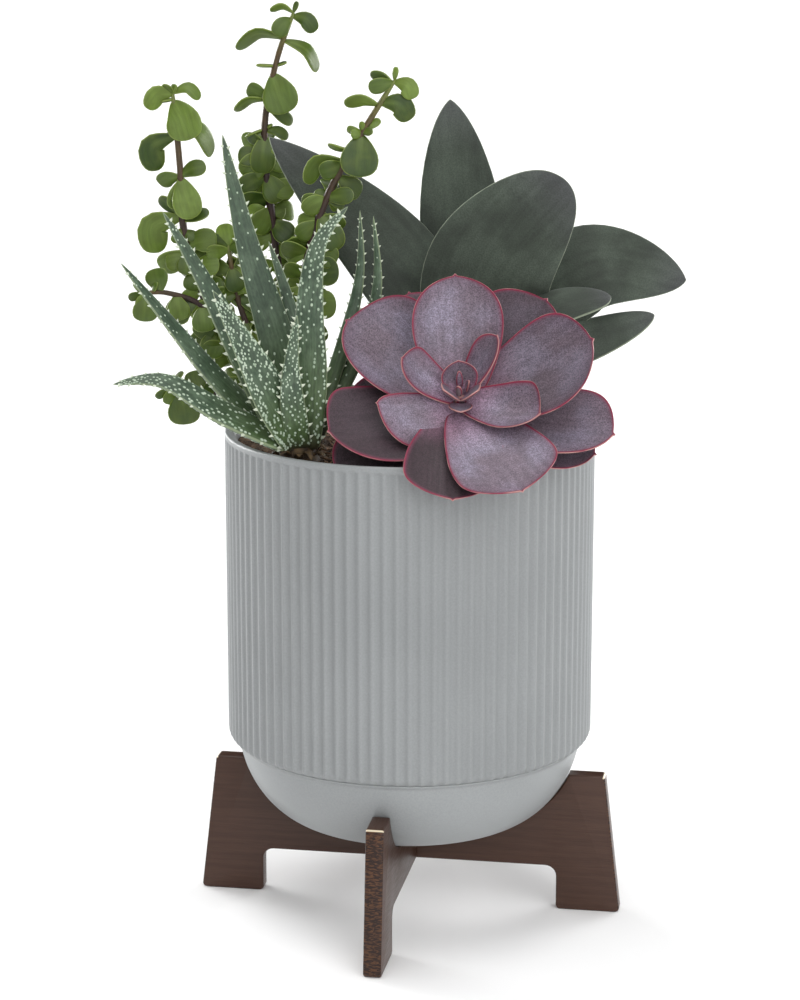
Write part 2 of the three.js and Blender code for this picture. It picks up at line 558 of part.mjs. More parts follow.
const STEM_SIX_LEAVES = [
  [0.98, 350, 8, 0, 10, 0.85, 0], [0.97, 90, 7, 10, 20, 0.84, 0], [0.95, 262, 8, 10, 20, 0.8, 0],
  [0.85, 165, 9, 15, 5, 0.84, 0], [0.82, 70, 9, -10, 30, 0.84, 0], [0.74, 250, 10, 10, 15, 0.84, 0],
  [0.70, 100, 10, -10, 15, 0.84, 0], [0.60, 190, 10, 15, 5, 0.84, 0], [0.52, 80, 10, 0, 20, 0.84, 0],
  [0.45, 260, 11, 10, 5, 0.84, 0], [0.38, 120, 11, 10, 5, 0.84, 0],
];

// A teardrop that is widest at 62 % of its length
function bushOutline(t) {
  if (t <= 0 || t >= 1) return 0;
  if (t < 0.62) {
    const s = (t / 0.62) ** 1.15;
    return (0.16 + 0.84 * (1.5 * s - 0.5 * s ** 3)) * startTaper(t, 0.04);
  }
  return (1 - ((t - 0.62) / 0.38) ** 2.3) ** 0.6;
}

function bushFullness(t) {
  return t > 0 && t < 1 ? Math.sqrt(1 - Math.pow(Math.abs(2 * t - 1), 3)) : 0;
}

function bushLeaf(stem, [place, angle, length, tilt, roll, wide, bow]) {
  const a = THREE.MathUtils.degToRad(angle);
  const e = THREE.MathUtils.degToRad(tilt);
  const flat = RIGHT.clone().multiplyScalar(Math.sin(a)).addScaledVector(UP, Math.cos(a));
  const rising = Math.sin(a) > 0 ? 1 : -1;
  const uphill = UP.clone().multiplyScalar(Math.sin(a)).addScaledVector(RIGHT, -Math.cos(a)).multiplyScalar(rising);
  const along = flat.clone().multiplyScalar(Math.cos(e)).addScaledVector(TO_VIEWER, Math.sin(e));
  const face = TO_VIEWER.clone().multiplyScalar(Math.cos(e)).addScaledVector(flat, -Math.sin(e));
  const base = alongSpine(stem, place);
  const middle = base.clone().addScaledVector(along, length / 2)
    .addScaledVector(face, length * 0.07).addScaledVector(uphill, length * bow);
  return {
    spine: [base, middle, base.clone().addScaledVector(along, length)], face, roll,
    thick: 1.8, cup: 0.1, halfWidth: evenSides(length * wide, bushOutline), fullness: bushFullness,
  };
}

function leafyStem(points, rows, radius) {
  const stem = spineOf(points);
  const parts = rows.map((row) => leafSolid(bushLeaf(stem, row), 4, row[2] > 7 ? 5 : 3));
  parts.push(stemSolid(stem, radius, 5, 12));
  return parts;
}

function makeFrontBush() {
  return Manifold.union([
    ...leafyStem(STEM_ONE, STEM_ONE_LEAVES, 1.5),
    ...leafyStem(STEM_THREE, STEM_THREE_LEAVES, 1.5),
    ...leafyStem(TWIG_FOUR, TWIG_FOUR_LEAVES, 1.1),
    ...leafyStem(TWIG_FIVE, TWIG_FIVE_LEAVES, 1.1),
    ...leafyStem(STEM_SIX, STEM_SIX_LEAVES, 1.2),
    cylinder(4.5, -34, 13, STEM_FOOT_Z, 174, 10),
  ]);
}

function makeBackBush() {
  return Manifold.union([
    ...leafyStem(STEM_TWO, STEM_TWO_LEAVES, 1.5),
    cylinder(3, -32, 45, STEM_FOOT_Z, 173, 10),
  ]);
}

// The soil fills the pot and holds each stem in a plain hole
function soilProfile() {
  const radius = INNER_RADIUS - GAP;
  const low = INNER_FLOOR_Z + GAP;
  return [
    [0, low], ...INNER_BOWL.slice().reverse().map(([reach, height]) => [reach - 0.45, height + 0.4]),
    [radius, SOIL_Z], [46, SOIL_Z + 0.2], [31, SOIL_Z + 0.3], [16, SOIL_Z + 0.5], [0, SOIL_Z + 0.6],
  ];
}

function roughen(geometry) {
  const position = geometry.attributes.position;
  for (let i = 0; i < position.count; i += 1) {
    const [x, y, z] = [position.getX(i), position.getY(i), position.getZ(i)];
    if (z > SOIL_Z - 1 && Math.hypot(x, y) < INNER_RADIUS - 2) {
      position.setZ(i, z + 0.5 * Math.sin(x * 0.31 + 1.7) * Math.cos(y * 0.27 - 0.6) + 0.3 * Math.sin(x * y * 0.02));
    }
  }
}

function makeSoil() {
  const geometry = lathe(soilProfile(), SOIL_SEGMENTS);
  roughen(geometry);
  const holes = [
    cylinder(4 + HOLE_CLEARANCE, 16, -33, STEM_FOOT_Z - GAP, RIM_Z, 16),
    cylinder(7.5 + HOLE_CLEARANCE, 24, 17, STEM_FOOT_Z - GAP, RIM_Z, 20),
    cylinder(8 + HOLE_CLEARANCE, ALOE_CENTRE[0], ALOE_CENTRE[1], STEM_FOOT_Z - GAP, RIM_Z, 16),
    cylinder(4.5 + HOLE_CLEARANCE, -34, 13, STEM_FOOT_Z - GAP, RIM_Z, 16),
    cylinder(3 + HOLE_CLEARANCE, -32, 45, STEM_FOOT_Z - GAP, RIM_Z, 14),
  ];
  return solidFrom(geometry).subtract(Manifold.union(holes));
}

addNode("stand_plank_side", makeSidePlank(), materials.wood);
addNode("stand_plank_front", makeFrontPlank(), materials.wood);
addNode("pot", makePot(), materials.ceramic);
addNode("soil", makeSoil(), materials.soil);
addNode("rosette", makeRosette(), materials.rosette_leaf);
addNode("propeller_plant", makePropellerPlant(), materials.propeller_leaf);
addNode("aloe", makeAloe(), materials.aloe_leaf);
addNode("elephant_bush_front", makeFrontBush(), materials.bush_leaf);
addNode("elephant_bush_back", makeBackBush(), materials.bush_leaf);

export default group;
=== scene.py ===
# The looks of a succulent dish garden in a ribbed pot on a crossed plank stand.
# Shapes are worked out in millimetres in the part's own frame, and a mesh is scaled to metres as it is made.
import math
import random

import bmesh
import bpy
import numpy as np
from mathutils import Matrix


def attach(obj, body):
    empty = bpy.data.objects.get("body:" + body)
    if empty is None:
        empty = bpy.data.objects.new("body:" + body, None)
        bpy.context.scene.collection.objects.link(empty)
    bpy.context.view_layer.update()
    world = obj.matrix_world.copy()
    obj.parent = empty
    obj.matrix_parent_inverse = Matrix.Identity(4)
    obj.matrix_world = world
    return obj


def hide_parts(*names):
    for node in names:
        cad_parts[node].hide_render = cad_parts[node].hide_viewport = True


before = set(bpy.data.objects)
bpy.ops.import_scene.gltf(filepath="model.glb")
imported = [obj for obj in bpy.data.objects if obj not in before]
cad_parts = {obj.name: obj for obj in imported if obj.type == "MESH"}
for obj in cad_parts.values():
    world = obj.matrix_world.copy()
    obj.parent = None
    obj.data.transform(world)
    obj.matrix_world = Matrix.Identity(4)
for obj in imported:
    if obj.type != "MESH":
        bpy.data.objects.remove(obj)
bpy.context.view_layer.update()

BODY = "root"
MM = 0.001

# The camera and the floor
LENS_MM = 99.756
SENSOR_MM = 36
CAMERA_PLACE_M = (0.00119, -0.9536, 0.3733)
CAMERA_PITCH_DEG = 76.76
CAMERA_TURN_DEG = 0.28
VIEW_END_M = 60
FLOOR_HALF_M = 12.0

# Sizes of the pot
POT_RADIUS = 65.0
RIM_Z = 175.0
WALL = 4.0
OUTER_LIP = 0.7
INNER_LIP = 3.0
RIB_COUNT = 96
RIB_STEPS = 8
RIB_DEPTH = 0.8
RIB_BOTTOM_Z = 63.8
RIB_FOOT_RADIUS = 61.35
RIB_CREST_POWER = 1.7
SHOULDER_RISE = 3.4
SHOULDER_STEPS = 8
RIB_TOP_Z = 171.8
BOWL_TOP_Z = 62.9
BOWL_TOP_RADIUS = 61.2
BOWL_TOP_LEAN_DEG = 7
BOWL_TOP_PULL = 15.5
BASE_Z = 33.9
BASE_RADIUS = 36.0
BASE_PULL = 12.0
FLOOR_THICKNESS = 5.0
VALLEY_RADIUS = POT_RADIUS - RIB_DEPTH
INNER_RADIUS = POT_RADIUS - WALL
FLOOR_TOP_Z = BASE_Z + FLOOR_THICKNESS
INNER_BOWL = [(61, 70), (56, 58), (51.5, 48.5), (44, 41.5), (34, FLOOR_TOP_Z)]
# The bead below the ribs, as steps out and up from the top of the bowl
BEAD = [(0.3, 0.15), (0.6, 0.35), (0.6, 0.6), (0.3, 0.75), (0.1, 0.8)]
# How the ribs end below the rim: steps out from their grooves and up from their top, and share of their depth
RIB_ENDS = [(0, 0, 1), (0.05, 0.5, 0.9), (0.3, 0.9, 0.5), (0.65, 1.2, 0.1)]
RIM_FACE = 1.6

# Sizes of the stand
PLANK_THICKNESS = 6.3
PLANK_EDGE_ROUND = 0.7
PLANK_EDGE_STEPS = 3
SHARP_DEG = 50
STAND_HEIGHT = 51.1
FOOT_OUTER = 77.0
TOP_OUTER = 71.2
FOOT_INNER = 54.0
FOOT_INSET = 0.1
END_ACROSS = FOOT_INNER + 5
UNDERSIDE_Z = 16.3
FOOT_FILLET = 4.0
CORNER = 1.5
LAP_Z = 25.0
STAND_TURN_DEG = -9.5
GAP = 0.3

# Sizes of the soil
SOIL_Z = 169.6
SOIL_TOP_Z = SOIL_Z + 0.3
SOIL_FLOOR_Z = FLOOR_TOP_Z + GAP
STEM_FOOT_Z = 160.0
CRUMBS = 1500
CRUMB_LEAST = 0.35
CRUMB_SPREAD = 1.1
FIBRES = 160
FIBRE_LENGTH = (3, 10)
FIBRE_RADIUS = (0.15, 0.3)

# How many points go round a leaf and how many steps along it
PETAL_GRID = (48, 44)
SMALL_PETAL_GRID = (28, 24)
BUD_GRID = (12, 12)
PROPELLER_GRID = (48, 48)
ALOE_GRID = (32, 56)
BUSH_GRID = (18, 16)
SMALL_BUSH_GRID = (14, 12)

# Lengths from which a petal and a bush leaf have the full grid, and any leaf a margin line of full width
FULL_PETAL = 20.0
FULL_BUSH_LEAF = 7.0
FULL_LINE = 14.0

# Seeds of the random draws
SOIL_SEED = 11
ROSETTE_SEED = 5
PROPELLER_SEED = 6
ALOE_SEED = 7
FRONT_BUSH_SEED = 187
BACK_BUSH_SEED = 36

# The studio sky: its least brightness, then a row for each soft area of light:
# direction, cosines of the angles at which it starts and is full, and brightness
SKY_LEAST = 0.02
SKY_AREAS = [
    ((0.22, -0.9, 0.38), 0.74, 0.93, 1.45),
    ((0.2, -0.65, 0.75), 0.72, 0.92, 0.8),
    ((-0.12, 0.05, 1), 0.80, 0.95, 2.7),
    ((-0.74, 0.67, 0.05), 0.90, 0.97, 17.0),
    ((0.74, 0.67, 0.05), 0.90, 0.97, 13.0),
    ((0.7, -0.65, 0.3), 0.85, 0.95, 0.8),
]

# The rosette, a row for each leaf: azimuth, lift, length, left and right half width, width at the base,
# widest place on the left and on the right, curl, sink, roll, cup and how light it is, which is partly
# the leaf's own colour, older outer leaves being browner, and partly painted shade on leaves in shadow
ROSETTE_CENTRE = np.array([17.0, -40.0, 189.5])
ROSETTE_TILT_DEG = 40
ROSETTE_LEAVES = [
    (353, 60, 10.8, 6.2, 6.2, 0.7, 0.5, 0.5, 0.1, -8, 0, 0.35, 0.6),
    (236, 56, 9.5, 3.4, 4.2, 0.7, 0.35, 0.45, 0.05, -8, 0, 0.25, 0.6),
    (126, 56, 9.5, 4.2, 3.4, 0.7, 0.45, 0.35, 0.05, -8, 0, 0.25, 0.6),
    (181, 36, 9, 4, 4, 0.8, 0.4, 0.4, 0.05, -5, 0, 0.2, 0.8),
    (286, 40, 24.5, 5.8, 8, 0.45, 0.62, 0.72, 0.12, -5, 10, 0.18, 0.9),
    (40, 44, 24, 6.5, 4.5, 0.5, 0.62, 0.62, 0.12, -5, 15, 0.3, 0.6),
    (116, 20, 29, 10, 8, 0.45, 0.75, 0.6, 0.08, -4, -12, 0.42, 0.85),
    (259, 16, 28, 16, 4, 0.8, 0.45, 0.5, 0.02, -3, 22, 0.1, 1.0),
    (357, 38, 43, 15.2, 15.8, 0.36, 0.6, 0.6, 0.12, -2, 0, 0.18, 0.76),
    (156, 13, 47.6, 18, 17.5, 0.3, 0.68, 0.7, 0.05, -2, 0, 0.18, 1.0),
    (74.5, 26, 49, 17.5, 19, 0.36, 0.66, 0.62, 0.08, -1, 0, 0.18, 0.5),
    (303.5, 20, 47.5, 13.5, 23, 0.36, 0.6, 0.62, 0.1, 0, 0, 0.18, 0.68),
    (253, 8, 45, 17.5, 16.5, 0.5, 0.45, 0.74, 0.08, 1, 0, 0.18, 0.12),
    (184, 9, 41, 16, 17, 0.4, 0.6, 0.72, -0.07, 1, 0, 0.18, 0.0),
    (107, 8, 52, 16.5, 12, 0.36, 0.66, 0.55, 0.06, 1, 0, 0.18, 0.66),
    (39, 19, 48, 19, 13, 0.36, 0.66, 0.62, 0.1, 1, 0, 0.18, 0.3),
    (110, 2, 46.4, 9, 13, 0.4, 0.62, 0.6, -0.02, 5, 0, 0.18, 0.4),
    (340, 9, 50, 13, 13, 0.36, 0.62, 0.62, 0.08, 3, 0, 0.18, 0.4),
    (82, 0, 38, 13, 13, 0.36, 0.62, 0.62, 0.05, 5, 0, 0.18, 0.3),
    (282, 0, 38, 13, 13, 0.36, 0.62, 0.62, 0.05, 5, 0, 0.18, 0.3),
    (246, -2, 45, 12, 12, 0.36, 0.62, 0.62, 0.03, 5, 0, 0.18, 0.2),
]
ROSETTE_STEM = [(16, -33, STEM_FOOT_Z), (16, -33, 170), (16, -33.5, 175), (17, -37.5, 184)]
ROSETTE_HEART = [(17, -37, 183), (17, -41, 189), (17, -44.5, 195)]
# Azimuth, lift and length of the tiny leaves at the centre, and the rest of a row, which they share
ROSETTE_BUDS = [(350, 74, 6.5), (200, 84, 5.5), (80, 80, 5)]
BUD_SHAPE = (1.2, 1.2, 0.7, 0.4, 0.4, 0, -10, 0, 0.2)
ROSETTE_STEM_RADIUS = 4
ROSETTE_HEART_RADIUS = 2.6
ROSETTE_CORE_WIDTH = 11
PETAL_THICKEST = 3.2

# The propeller plant: spine points, facing, width and point of each leaf
PROPELLER_LEAVES = [
    ([(14, 10, 198), (-7, 22, 233), (-50.5, 38, 273)], (0.2, -1, 0.25), 33, 1.0),
    ([(26, 12, 200), (28.4, 6, 231.5), (53.8, 6, 261.5)], (0, -1, 0), 45.5, 0.55),
    ([(24, 19, 196), (18.2, 32, 244), (14.1, 38, 286.4)], (0.1, -1, 0.1), 30.5, 0.85),
    ([(32, 20, 200), (62, 18, 228.5), (98, 22, 224)], (0.05, -1, 0.35), 32, 0.8),
    ([(30, 4, 200), (50, -1, 217), (70, 2, 221)], (0, -0.6, 0.8), 17, 0.6),
    ([(32, 10, 194), (60, 10, 203.3), (86.5, 16, 212.5)], (0, -0.8, 0.6), 17, 0.7),
    ([(20, 13, 188), (8, 7, 204), (2, 5, 216)], (0.3, -1, 0.3), 15, 0.7),
    ([(24, 20, 194), (10, 54, 222), (20, 80, 226)], (0, -0.3, 1), 27, 0.8),
    ([(26, 20, 184), (46, 36, 198), (62, 58, 212)], (-0.4, -0.5, 1), 24, 0.8),
    ([(20, 20, 183), (2, 30, 192), (-17, 33, 203)], (0.3, -0.6, 1), 18, 0.8),
]
PROPELLER_STEM = [(24, 17, STEM_FOOT_Z), (24, 17, 180), (25, 16, 211)]
PROPELLER_STEM_RADIUS = 7.5
PROPELLER_THICK = 4.4

# The aloe: spine points, facing, width, and the number of white dots on each side of a leaf and their radius
ALOE_CENTRE = (-38, -34)
ALOE_FOOT_RADIUS = 8
ALOE_THICK = 5
ALOE_SCALES = 14
SCALE_TURN = 2.4
DOT_STRETCH = 1.35
GOLDEN_SHARE = 0.618
TOOTH_SPACING = 4.6
TOOTH_SIZE = 1.8
NARROW_LEAF = 9.0
NARROW_TOOTH_SIZE = 1.3
ALOE_LEAVES = [
    ([(-38, -30, 175), (-45, -28, 210), (-55, -28, 245), (-62.5, -28, 280.5)], (0.2, -1, 0.1), 15, 46, 0.5),
    ([(-42, -34, 175), (-57, -37, 208), (-69, -38, 233), (-82, -38, 256)], (0.5, -1, 0.5), 12, 64, 0.46),
    ([(-42, -34, 176), (-63, -35, 196), (-80.5, -34, 217.3), (-97, -32, 238)],
     (0.4, -0.6, 0.8), 11, 56, 0.42),
    ([(-41, -37, 176), (-62, -45, 188.2), (-82, -46.5, 200), (-99, -46, 199.2)],
     (0.1, -0.6, 1), 13.5, 150, 0.56),
    ([(-35, -37, 175), (-33, -43, 200), (-33, -44, 226), (-30, -43, 246), (-20.5, -40, 258)],
     (-0.1, -1, 0.1), 13, 170, 0.54),
    ([(-35, -31, 175), (-36, -24, 200), (-42, -20, 225), (-48, -18, 243.5)], (0.2, -1, 0), 8, 30, 0.4),
    ([(-34, -31, 175), (-22, -18, 210), (-17, -14, 232), (-17, -14, 253.5)], (-0.2, -1, 0), 6, 16, 0.4),
    ([(-33, -29, 175), (-16, -16, 208), (-11, -12, 228), (-12.5, -10, 251)], (-0.3, -1, 0), 6.5, 20, 0.4),
    ([(-38, -37, 177), (-47, -49, 197), (-55, -53, 214), (-64.5, -54, 232)], (0.4, -1, 0.3), 16.5, 360, 0.5),
    ([(-37, -38, 176), (-39, -49, 194), (-39, -53, 208), (-37, -53, 223.7)], (0, -1, 0.2), 10, 130, 0.46),
]

# The elephant bush: each stem's points, then a row for each of its leaves:
# place on the stem, picture angle, length, tilt, roll, width as a share of the length, and upward bow if any
STEM_ONE = [
    (-36, 14, 171), (-58, 16, 190), (-70, 15, 212), (-79, 15, 240), (-80.5, 15, 266), (-82.5, 15, 291),
]
STEM_ONE_LEAVES = [
    (0.99, 308, 5, 20, 40, 0.8, 0.1), (0.99, 15, 3.5, 10, 30, 0.8), (0.985, 239, 10, 15, 20, 0.75, 0.3),
    (0.99, 102, 9.5, 0, 30, 0.5, 0.32), (0.967, 261, 5, 0, 80, 0.5), (0.962, 158, 15, 18, 0, 0.84, 0.05),
    (0.92, 141, 21, -25, 45, 0.38, 0.12), (0.87, 211, 15, -10, 15, 0.62, 0.38), (0.866, 304, 4, 20, 40, 0.8),
    (0.765, 250, 8.5, -15, 20, 0.75, 0.1), (0.765, 69, 10, 10, 25, 0.62, 0.1),
    (0.762, 163, 15.5, 22, 5, 0.66), (0.755, 190, 10.5, 5, 20, 0.75), (0.647, 313, 11.3, 0, 35, 0.55, 0.1),
    (0.645, 70, 10.3, 10, 40, 0.5), (0.655, 216, 16.5, -10, 10, 0.66, 0.38), (0.626, 218, 6.5, 20, 20, 0.6),
    (0.62, 125, 5.5, 10, 20, 0.8), (0.58, 80, 11, 10, 15, 0.78, 0.1), (0.565, 240, 12.2, -10, 15, 0.72),
    (0.565, 186, 8.6, 25, 0, 0.85), (0.52, 185, 7.5, 15, 10, 0.95), (0.45, 195, 8, 15, 20, 0.9),
    (0.4, 212, 9, 20, 0, 0.95), (0.53, 85, 10, 15, 20, 0.8), (0.5, 115, 11, -10, 15, 0.8),
    (0.46, 60, 9, 10, 30, 0.8), (0.42, 100, 10, 20, 20, 0.8), (0.36, 200, 11, 30, 10, 0.84),
    (0.33, 80, 10, 20, 20, 0.84), (0.29, 280, 11, 28, 15, 0.84),
]
STEM_TWO = [
    (-32, 45, 171), (-41.5, 48, 198), (-47, 51, 217), (-50.5, 55, 242), (-53, 58, 262), (-52.5, 59, 280),
    (-48, 60, 300), (-42, 60, 316),
]
STEM_TWO_LEAVES = [
    (0.99, 275, 8.5, 0, 40, 0.4, 0.25), (0.99, 20, 4.5, 10, 20, 0.5), (0.975, 125, 10, 10, 10, 0.62, 0.2),
    (0.965, 222, 8.5, 20, 10, 0.8, 0.1), (0.905, 257, 17.5, 0, 50, 0.42, 0.24),
    (0.9, 133, 17, -10, 50, 0.42, 0.18), (0.83, 272, 7, 0, 75, 0.5), (0.83, 72, 4.5, 0, 75, 0.5),
    (0.81, 162, 15.5, 20, 0, 0.84), (0.75, 298, 8.5, 0, 15, 0.75), (0.745, 250, 13, -10, 50, 0.4, 0.18),
    (0.73, 125, 12, -20, 30, 0.45), (0.665, 248, 7.5, 0, 75, 0.5), (0.665, 60, 3.5, 0, 70, 0.5),
    (0.66, 108, 9, 0, 40, 0.55, 0.15), (0.65, 184, 14.5, 12, 10, 0.66), (0.62, 300, 7, 0, 30, 0.7),
    (0.6, 218, 12, 15, 5, 0.85), (0.58, 115, 8.5, -10, 20, 0.7), (0.535, 150, 11, 15, 5, 0.85),
    (0.53, 240, 10.5, 0, 10, 0.85), (0.5, 90, 10, 10, 15, 0.8), (0.45, 215, 11, 20, 10, 0.8),
    (0.42, 130, 10, 20, 10, 0.85), (0.4, 280, 10, -15, 15, 0.84), (0.36, 80, 11, 15, 15, 0.84),
    (0.3, 200, 11, -15, 10, 0.84),
]
STEM_THREE = [(-32, 12, 171), (-36, 9, 200), (-37, 8, 226), (-31, 8, 250), (-20.5, 8, 271), (-5, 8, 296)]
STEM_THREE_LEAVES = [
    (0.98, 290, 8.5, -10, 30, 0.5, 0.1), (0.985, 258, 9.2, 15, 10, 0.62), (0.99, 8, 5, 10, 30, 0.5),
    (0.985, 132, 8.8, 10, 10, 0.75, 0.25), (0.92, 122, 11.5, 0, 10, 0.72, 0.28),
    (0.915, 271, 12, -5, 30, 0.45, 0.15), (0.85, 285, 5.5, 0, 20, 0.6), (0.85, 262, 4.5, 30, 0, 0.85),
    (0.85, 0, 4, 10, 20, 0.6), (0.85, 78, 4.5, 30, 20, 0.7), (0.855, 58, 7, -10, 30, 0.5),
    (0.8, 285, 8.5, -10, 60, 0.5), (0.845, 183, 15.5, 25, 0, 0.86), (0.77, 238, 16, -10, 20, 0.4, 0.3),
    (0.76, 252, 9, 10, 15, 0.8), (0.75, 92, 9, -20, 30, 0.7), (0.72, 130, 11, -20, 20, 0.7),
    (0.645, 80, 10, 15, 10, 0.62), (0.64, 262, 8.5, 0, 10, 0.8), (0.6, 158, 14.5, 10, 10, 0.68),
    (0.57, 235, 9, 10, 15, 0.8), (0.5, 120, 11, 15, 5, 0.8), (0.48, 280, 10, 0, 30, 0.8),
    (0.42, 80, 12.5, 15, 5, 0.85), (0.33, 85, 12, 15, 10, 0.85), (0.38, 230, 10, 0, 10, 0.84),
]
TWIG_FOUR = [(-56, 16, 189), (-63, 12, 205), (-73, 8, 217), (-85, 5, 222), (-94, 3, 222)]
TWIG_FOUR_LEAVES = [
    (0.98, 330, 5, 10, 50, 0.6), (0.98, 255, 5, 20, 30, 0.8), (0.96, 200, 5, 10, 30, 0.8),
    (0.92, 184, 10, 10, 5, 0.9), (0.86, 20, 4, 0, 50, 0.7), (0.8, 348, 8.5, -5, 10, 1),
    (0.68, 172, 9, 10, 5, 0.95), (0.5, 172, 9.5, 20, 10, 0.9),
]
TWIG_FIVE = [(-46, 15, 179), (-60, 8, 184.5), (-73, 4, 187), (-85, 2, 189)]
TWIG_FIVE_LEAVES = [
    (0.98, 42, 7.5, -10, 60, 0.45), (0.97, 235, 6, 10, 30, 0.6), (0.94, 195, 6, 10, 20, 0.8),
    (0.7, 350, 8, 10, 0, 1), (0.84, 174, 12.5, 10, 0, 0.92),
]
STEM_SIX = [(-34, 13, 171), (-50, 13, 192), (-60, 14, 216), (-64, 14, 238)]
STEM_SIX_LEAVES = [
    (0.98, 350, 8, 0, 10, 0.85), (0.97, 90, 7, 10, 20, 0.84), (0.95, 262, 8, 10, 20, 0.8),
    (0.85, 165, 9, 15, 5, 0.84), (0.82, 70, 9, -10, 30, 0.84), (0.74, 250, 10, 10, 15, 0.84),
    (0.7, 100, 10, -10, 15, 0.84), (0.6, 190, 10, 15, 5, 0.84), (0.52, 80, 10, 0, 20, 0.84),
    (0.45, 260, 11, 10, 5, 0.84), (0.38, 120, 11, 10, 5, 0.84),
]
# Each stem's points, leaves and radius, and where small leaves fill it: from, to and how many pairs
FRONT_STEMS = [
    (STEM_ONE, STEM_ONE_LEAVES, 1.5, (0.22, 0.56, 10)), (STEM_THREE, STEM_THREE_LEAVES, 1.5, (0.2, 0.68, 17)),
    (TWIG_FOUR, TWIG_FOUR_LEAVES, 1.1, (0.3, 0.6, 2)), (TWIG_FIVE, TWIG_FIVE_LEAVES, 1.1, (0.3, 0.6, 2)),
    (STEM_SIX, STEM_SIX_LEAVES, 1.2, (0.3, 0.98, 12)),
]
BACK_STEMS = [(STEM_TWO, STEM_TWO_LEAVES, 1.5, (0.2, 0.64, 18))]
# Where the stems come together in the soil, and the radius there
FRONT_FOOT = ((-34, 13), 4.5)
BACK_FOOT = ((-32, 45), 3)
BUSH_LEAF_THICK = 1.4
NODE_LENGTH = 0.012


# Small helpers for vectors and curves
def unit(vectors):
    length = np.linalg.norm(vectors, axis=-1, keepdims=True)
    return vectors / np.maximum(length, 1e-12)


def smooth_step(low, high, value):
    x = np.clip((value - low) / (high - low), 0, 1)
    return x * x * (3 - 2 * x)


def along_spine(points, t):
    """The points of a smooth curve through the given ones, one for each place in t from 0 to 1."""
    points = np.asarray(points, float)
    spans = len(points) - 1
    place = np.clip(t, 0, 0.999999) * spans
    span = place.astype(int)
    f = (place - span)[:, None]
    a, b, c, d = (points[np.clip(span + k, 0, spans)] for k in (-1, 0, 1, 2))
    bend = 2 * a - 5 * b + 4 * c - d
    return 0.5 * (2 * b + (c - a) * f + bend * f ** 2 + (3 * b - a - 3 * c + d) * f ** 3)


def heading_at(points, t):
    ahead = along_spine(points, np.minimum(t + 0.01, 1))
    return unit(ahead - along_spine(points, np.maximum(t - 0.01, 0)))


def full_turn(steps):
    return np.linspace(0, 2 * math.pi, steps, endpoint=False)


def level_ring(radius, z, angle):
    x, y = radius * np.cos(angle), radius * np.sin(angle)
    return np.column_stack([x, y, np.full(len(angle), z)])


def turn_about_z(angle):
    across, up = math.cos(angle), math.sin(angle)
    return np.array([[across, -up, 0], [up, across, 0], [0, 0, 1]])


def start_taper(t, length):
    return np.minimum(1, np.sqrt(np.maximum(t, 0) / length))


# A skin gathers the points and faces of one piece, with two values at each point. On a leaf,
# place is across, along and distance from the margin in millimetres, and
# kind is the leaf's tone, 1 on the upper side and 0 on the lower, and the share of the way to the tip.
class Skin:
    def __init__(self):
        self.points = []
        self.faces = []
        self.places = []
        self.kinds = []
        self.total = 0

    def add(self, points, faces, place=None, kind=None):
        points = np.asarray(points, float)
        self.points.append(points)
        self.faces.extend([k + self.total for k in face] for face in faces)
        self.places.append(np.zeros_like(points) if place is None else place)
        self.kinds.append(np.zeros_like(points) if kind is None else np.broadcast_to(kind, points.shape))
        self.total += len(points)

    def mesh(self, name):
        mesh = bpy.data.meshes.new(name)
        mesh.from_pydata((np.concatenate(self.points) * MM).tolist(), [], self.faces)
        for value, parts in (("place", self.places), ("kind", self.kinds)):
            attribute = mesh.attributes.new(value, "FLOAT_VECTOR", "POINT")
            attribute.data.foreach_set("vector", np.concatenate(parts).astype(np.float32).ravel())
        mesh.polygons.foreach_set("use_smooth", [True] * len(mesh.polygons))
        face_outward(mesh)
        return mesh


def face_outward(mesh):
    work = bmesh.new()
    work.from_mesh(mesh)
    bmesh.ops.recalc_face_normals(work, faces=work.faces)
    work.to_mesh(mesh)
    work.free()


def add_piece(name, skin, paint, slot, *replaced):
    mesh = skin.mesh(name)
    mesh.materials.append(paint)
    piece = bpy.data.objects.new(name, mesh)
    bpy.context.scene.collection.objects.link(piece)
    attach(piece, BODY)
    if replaced:
        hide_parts(*replaced)
    return mesh


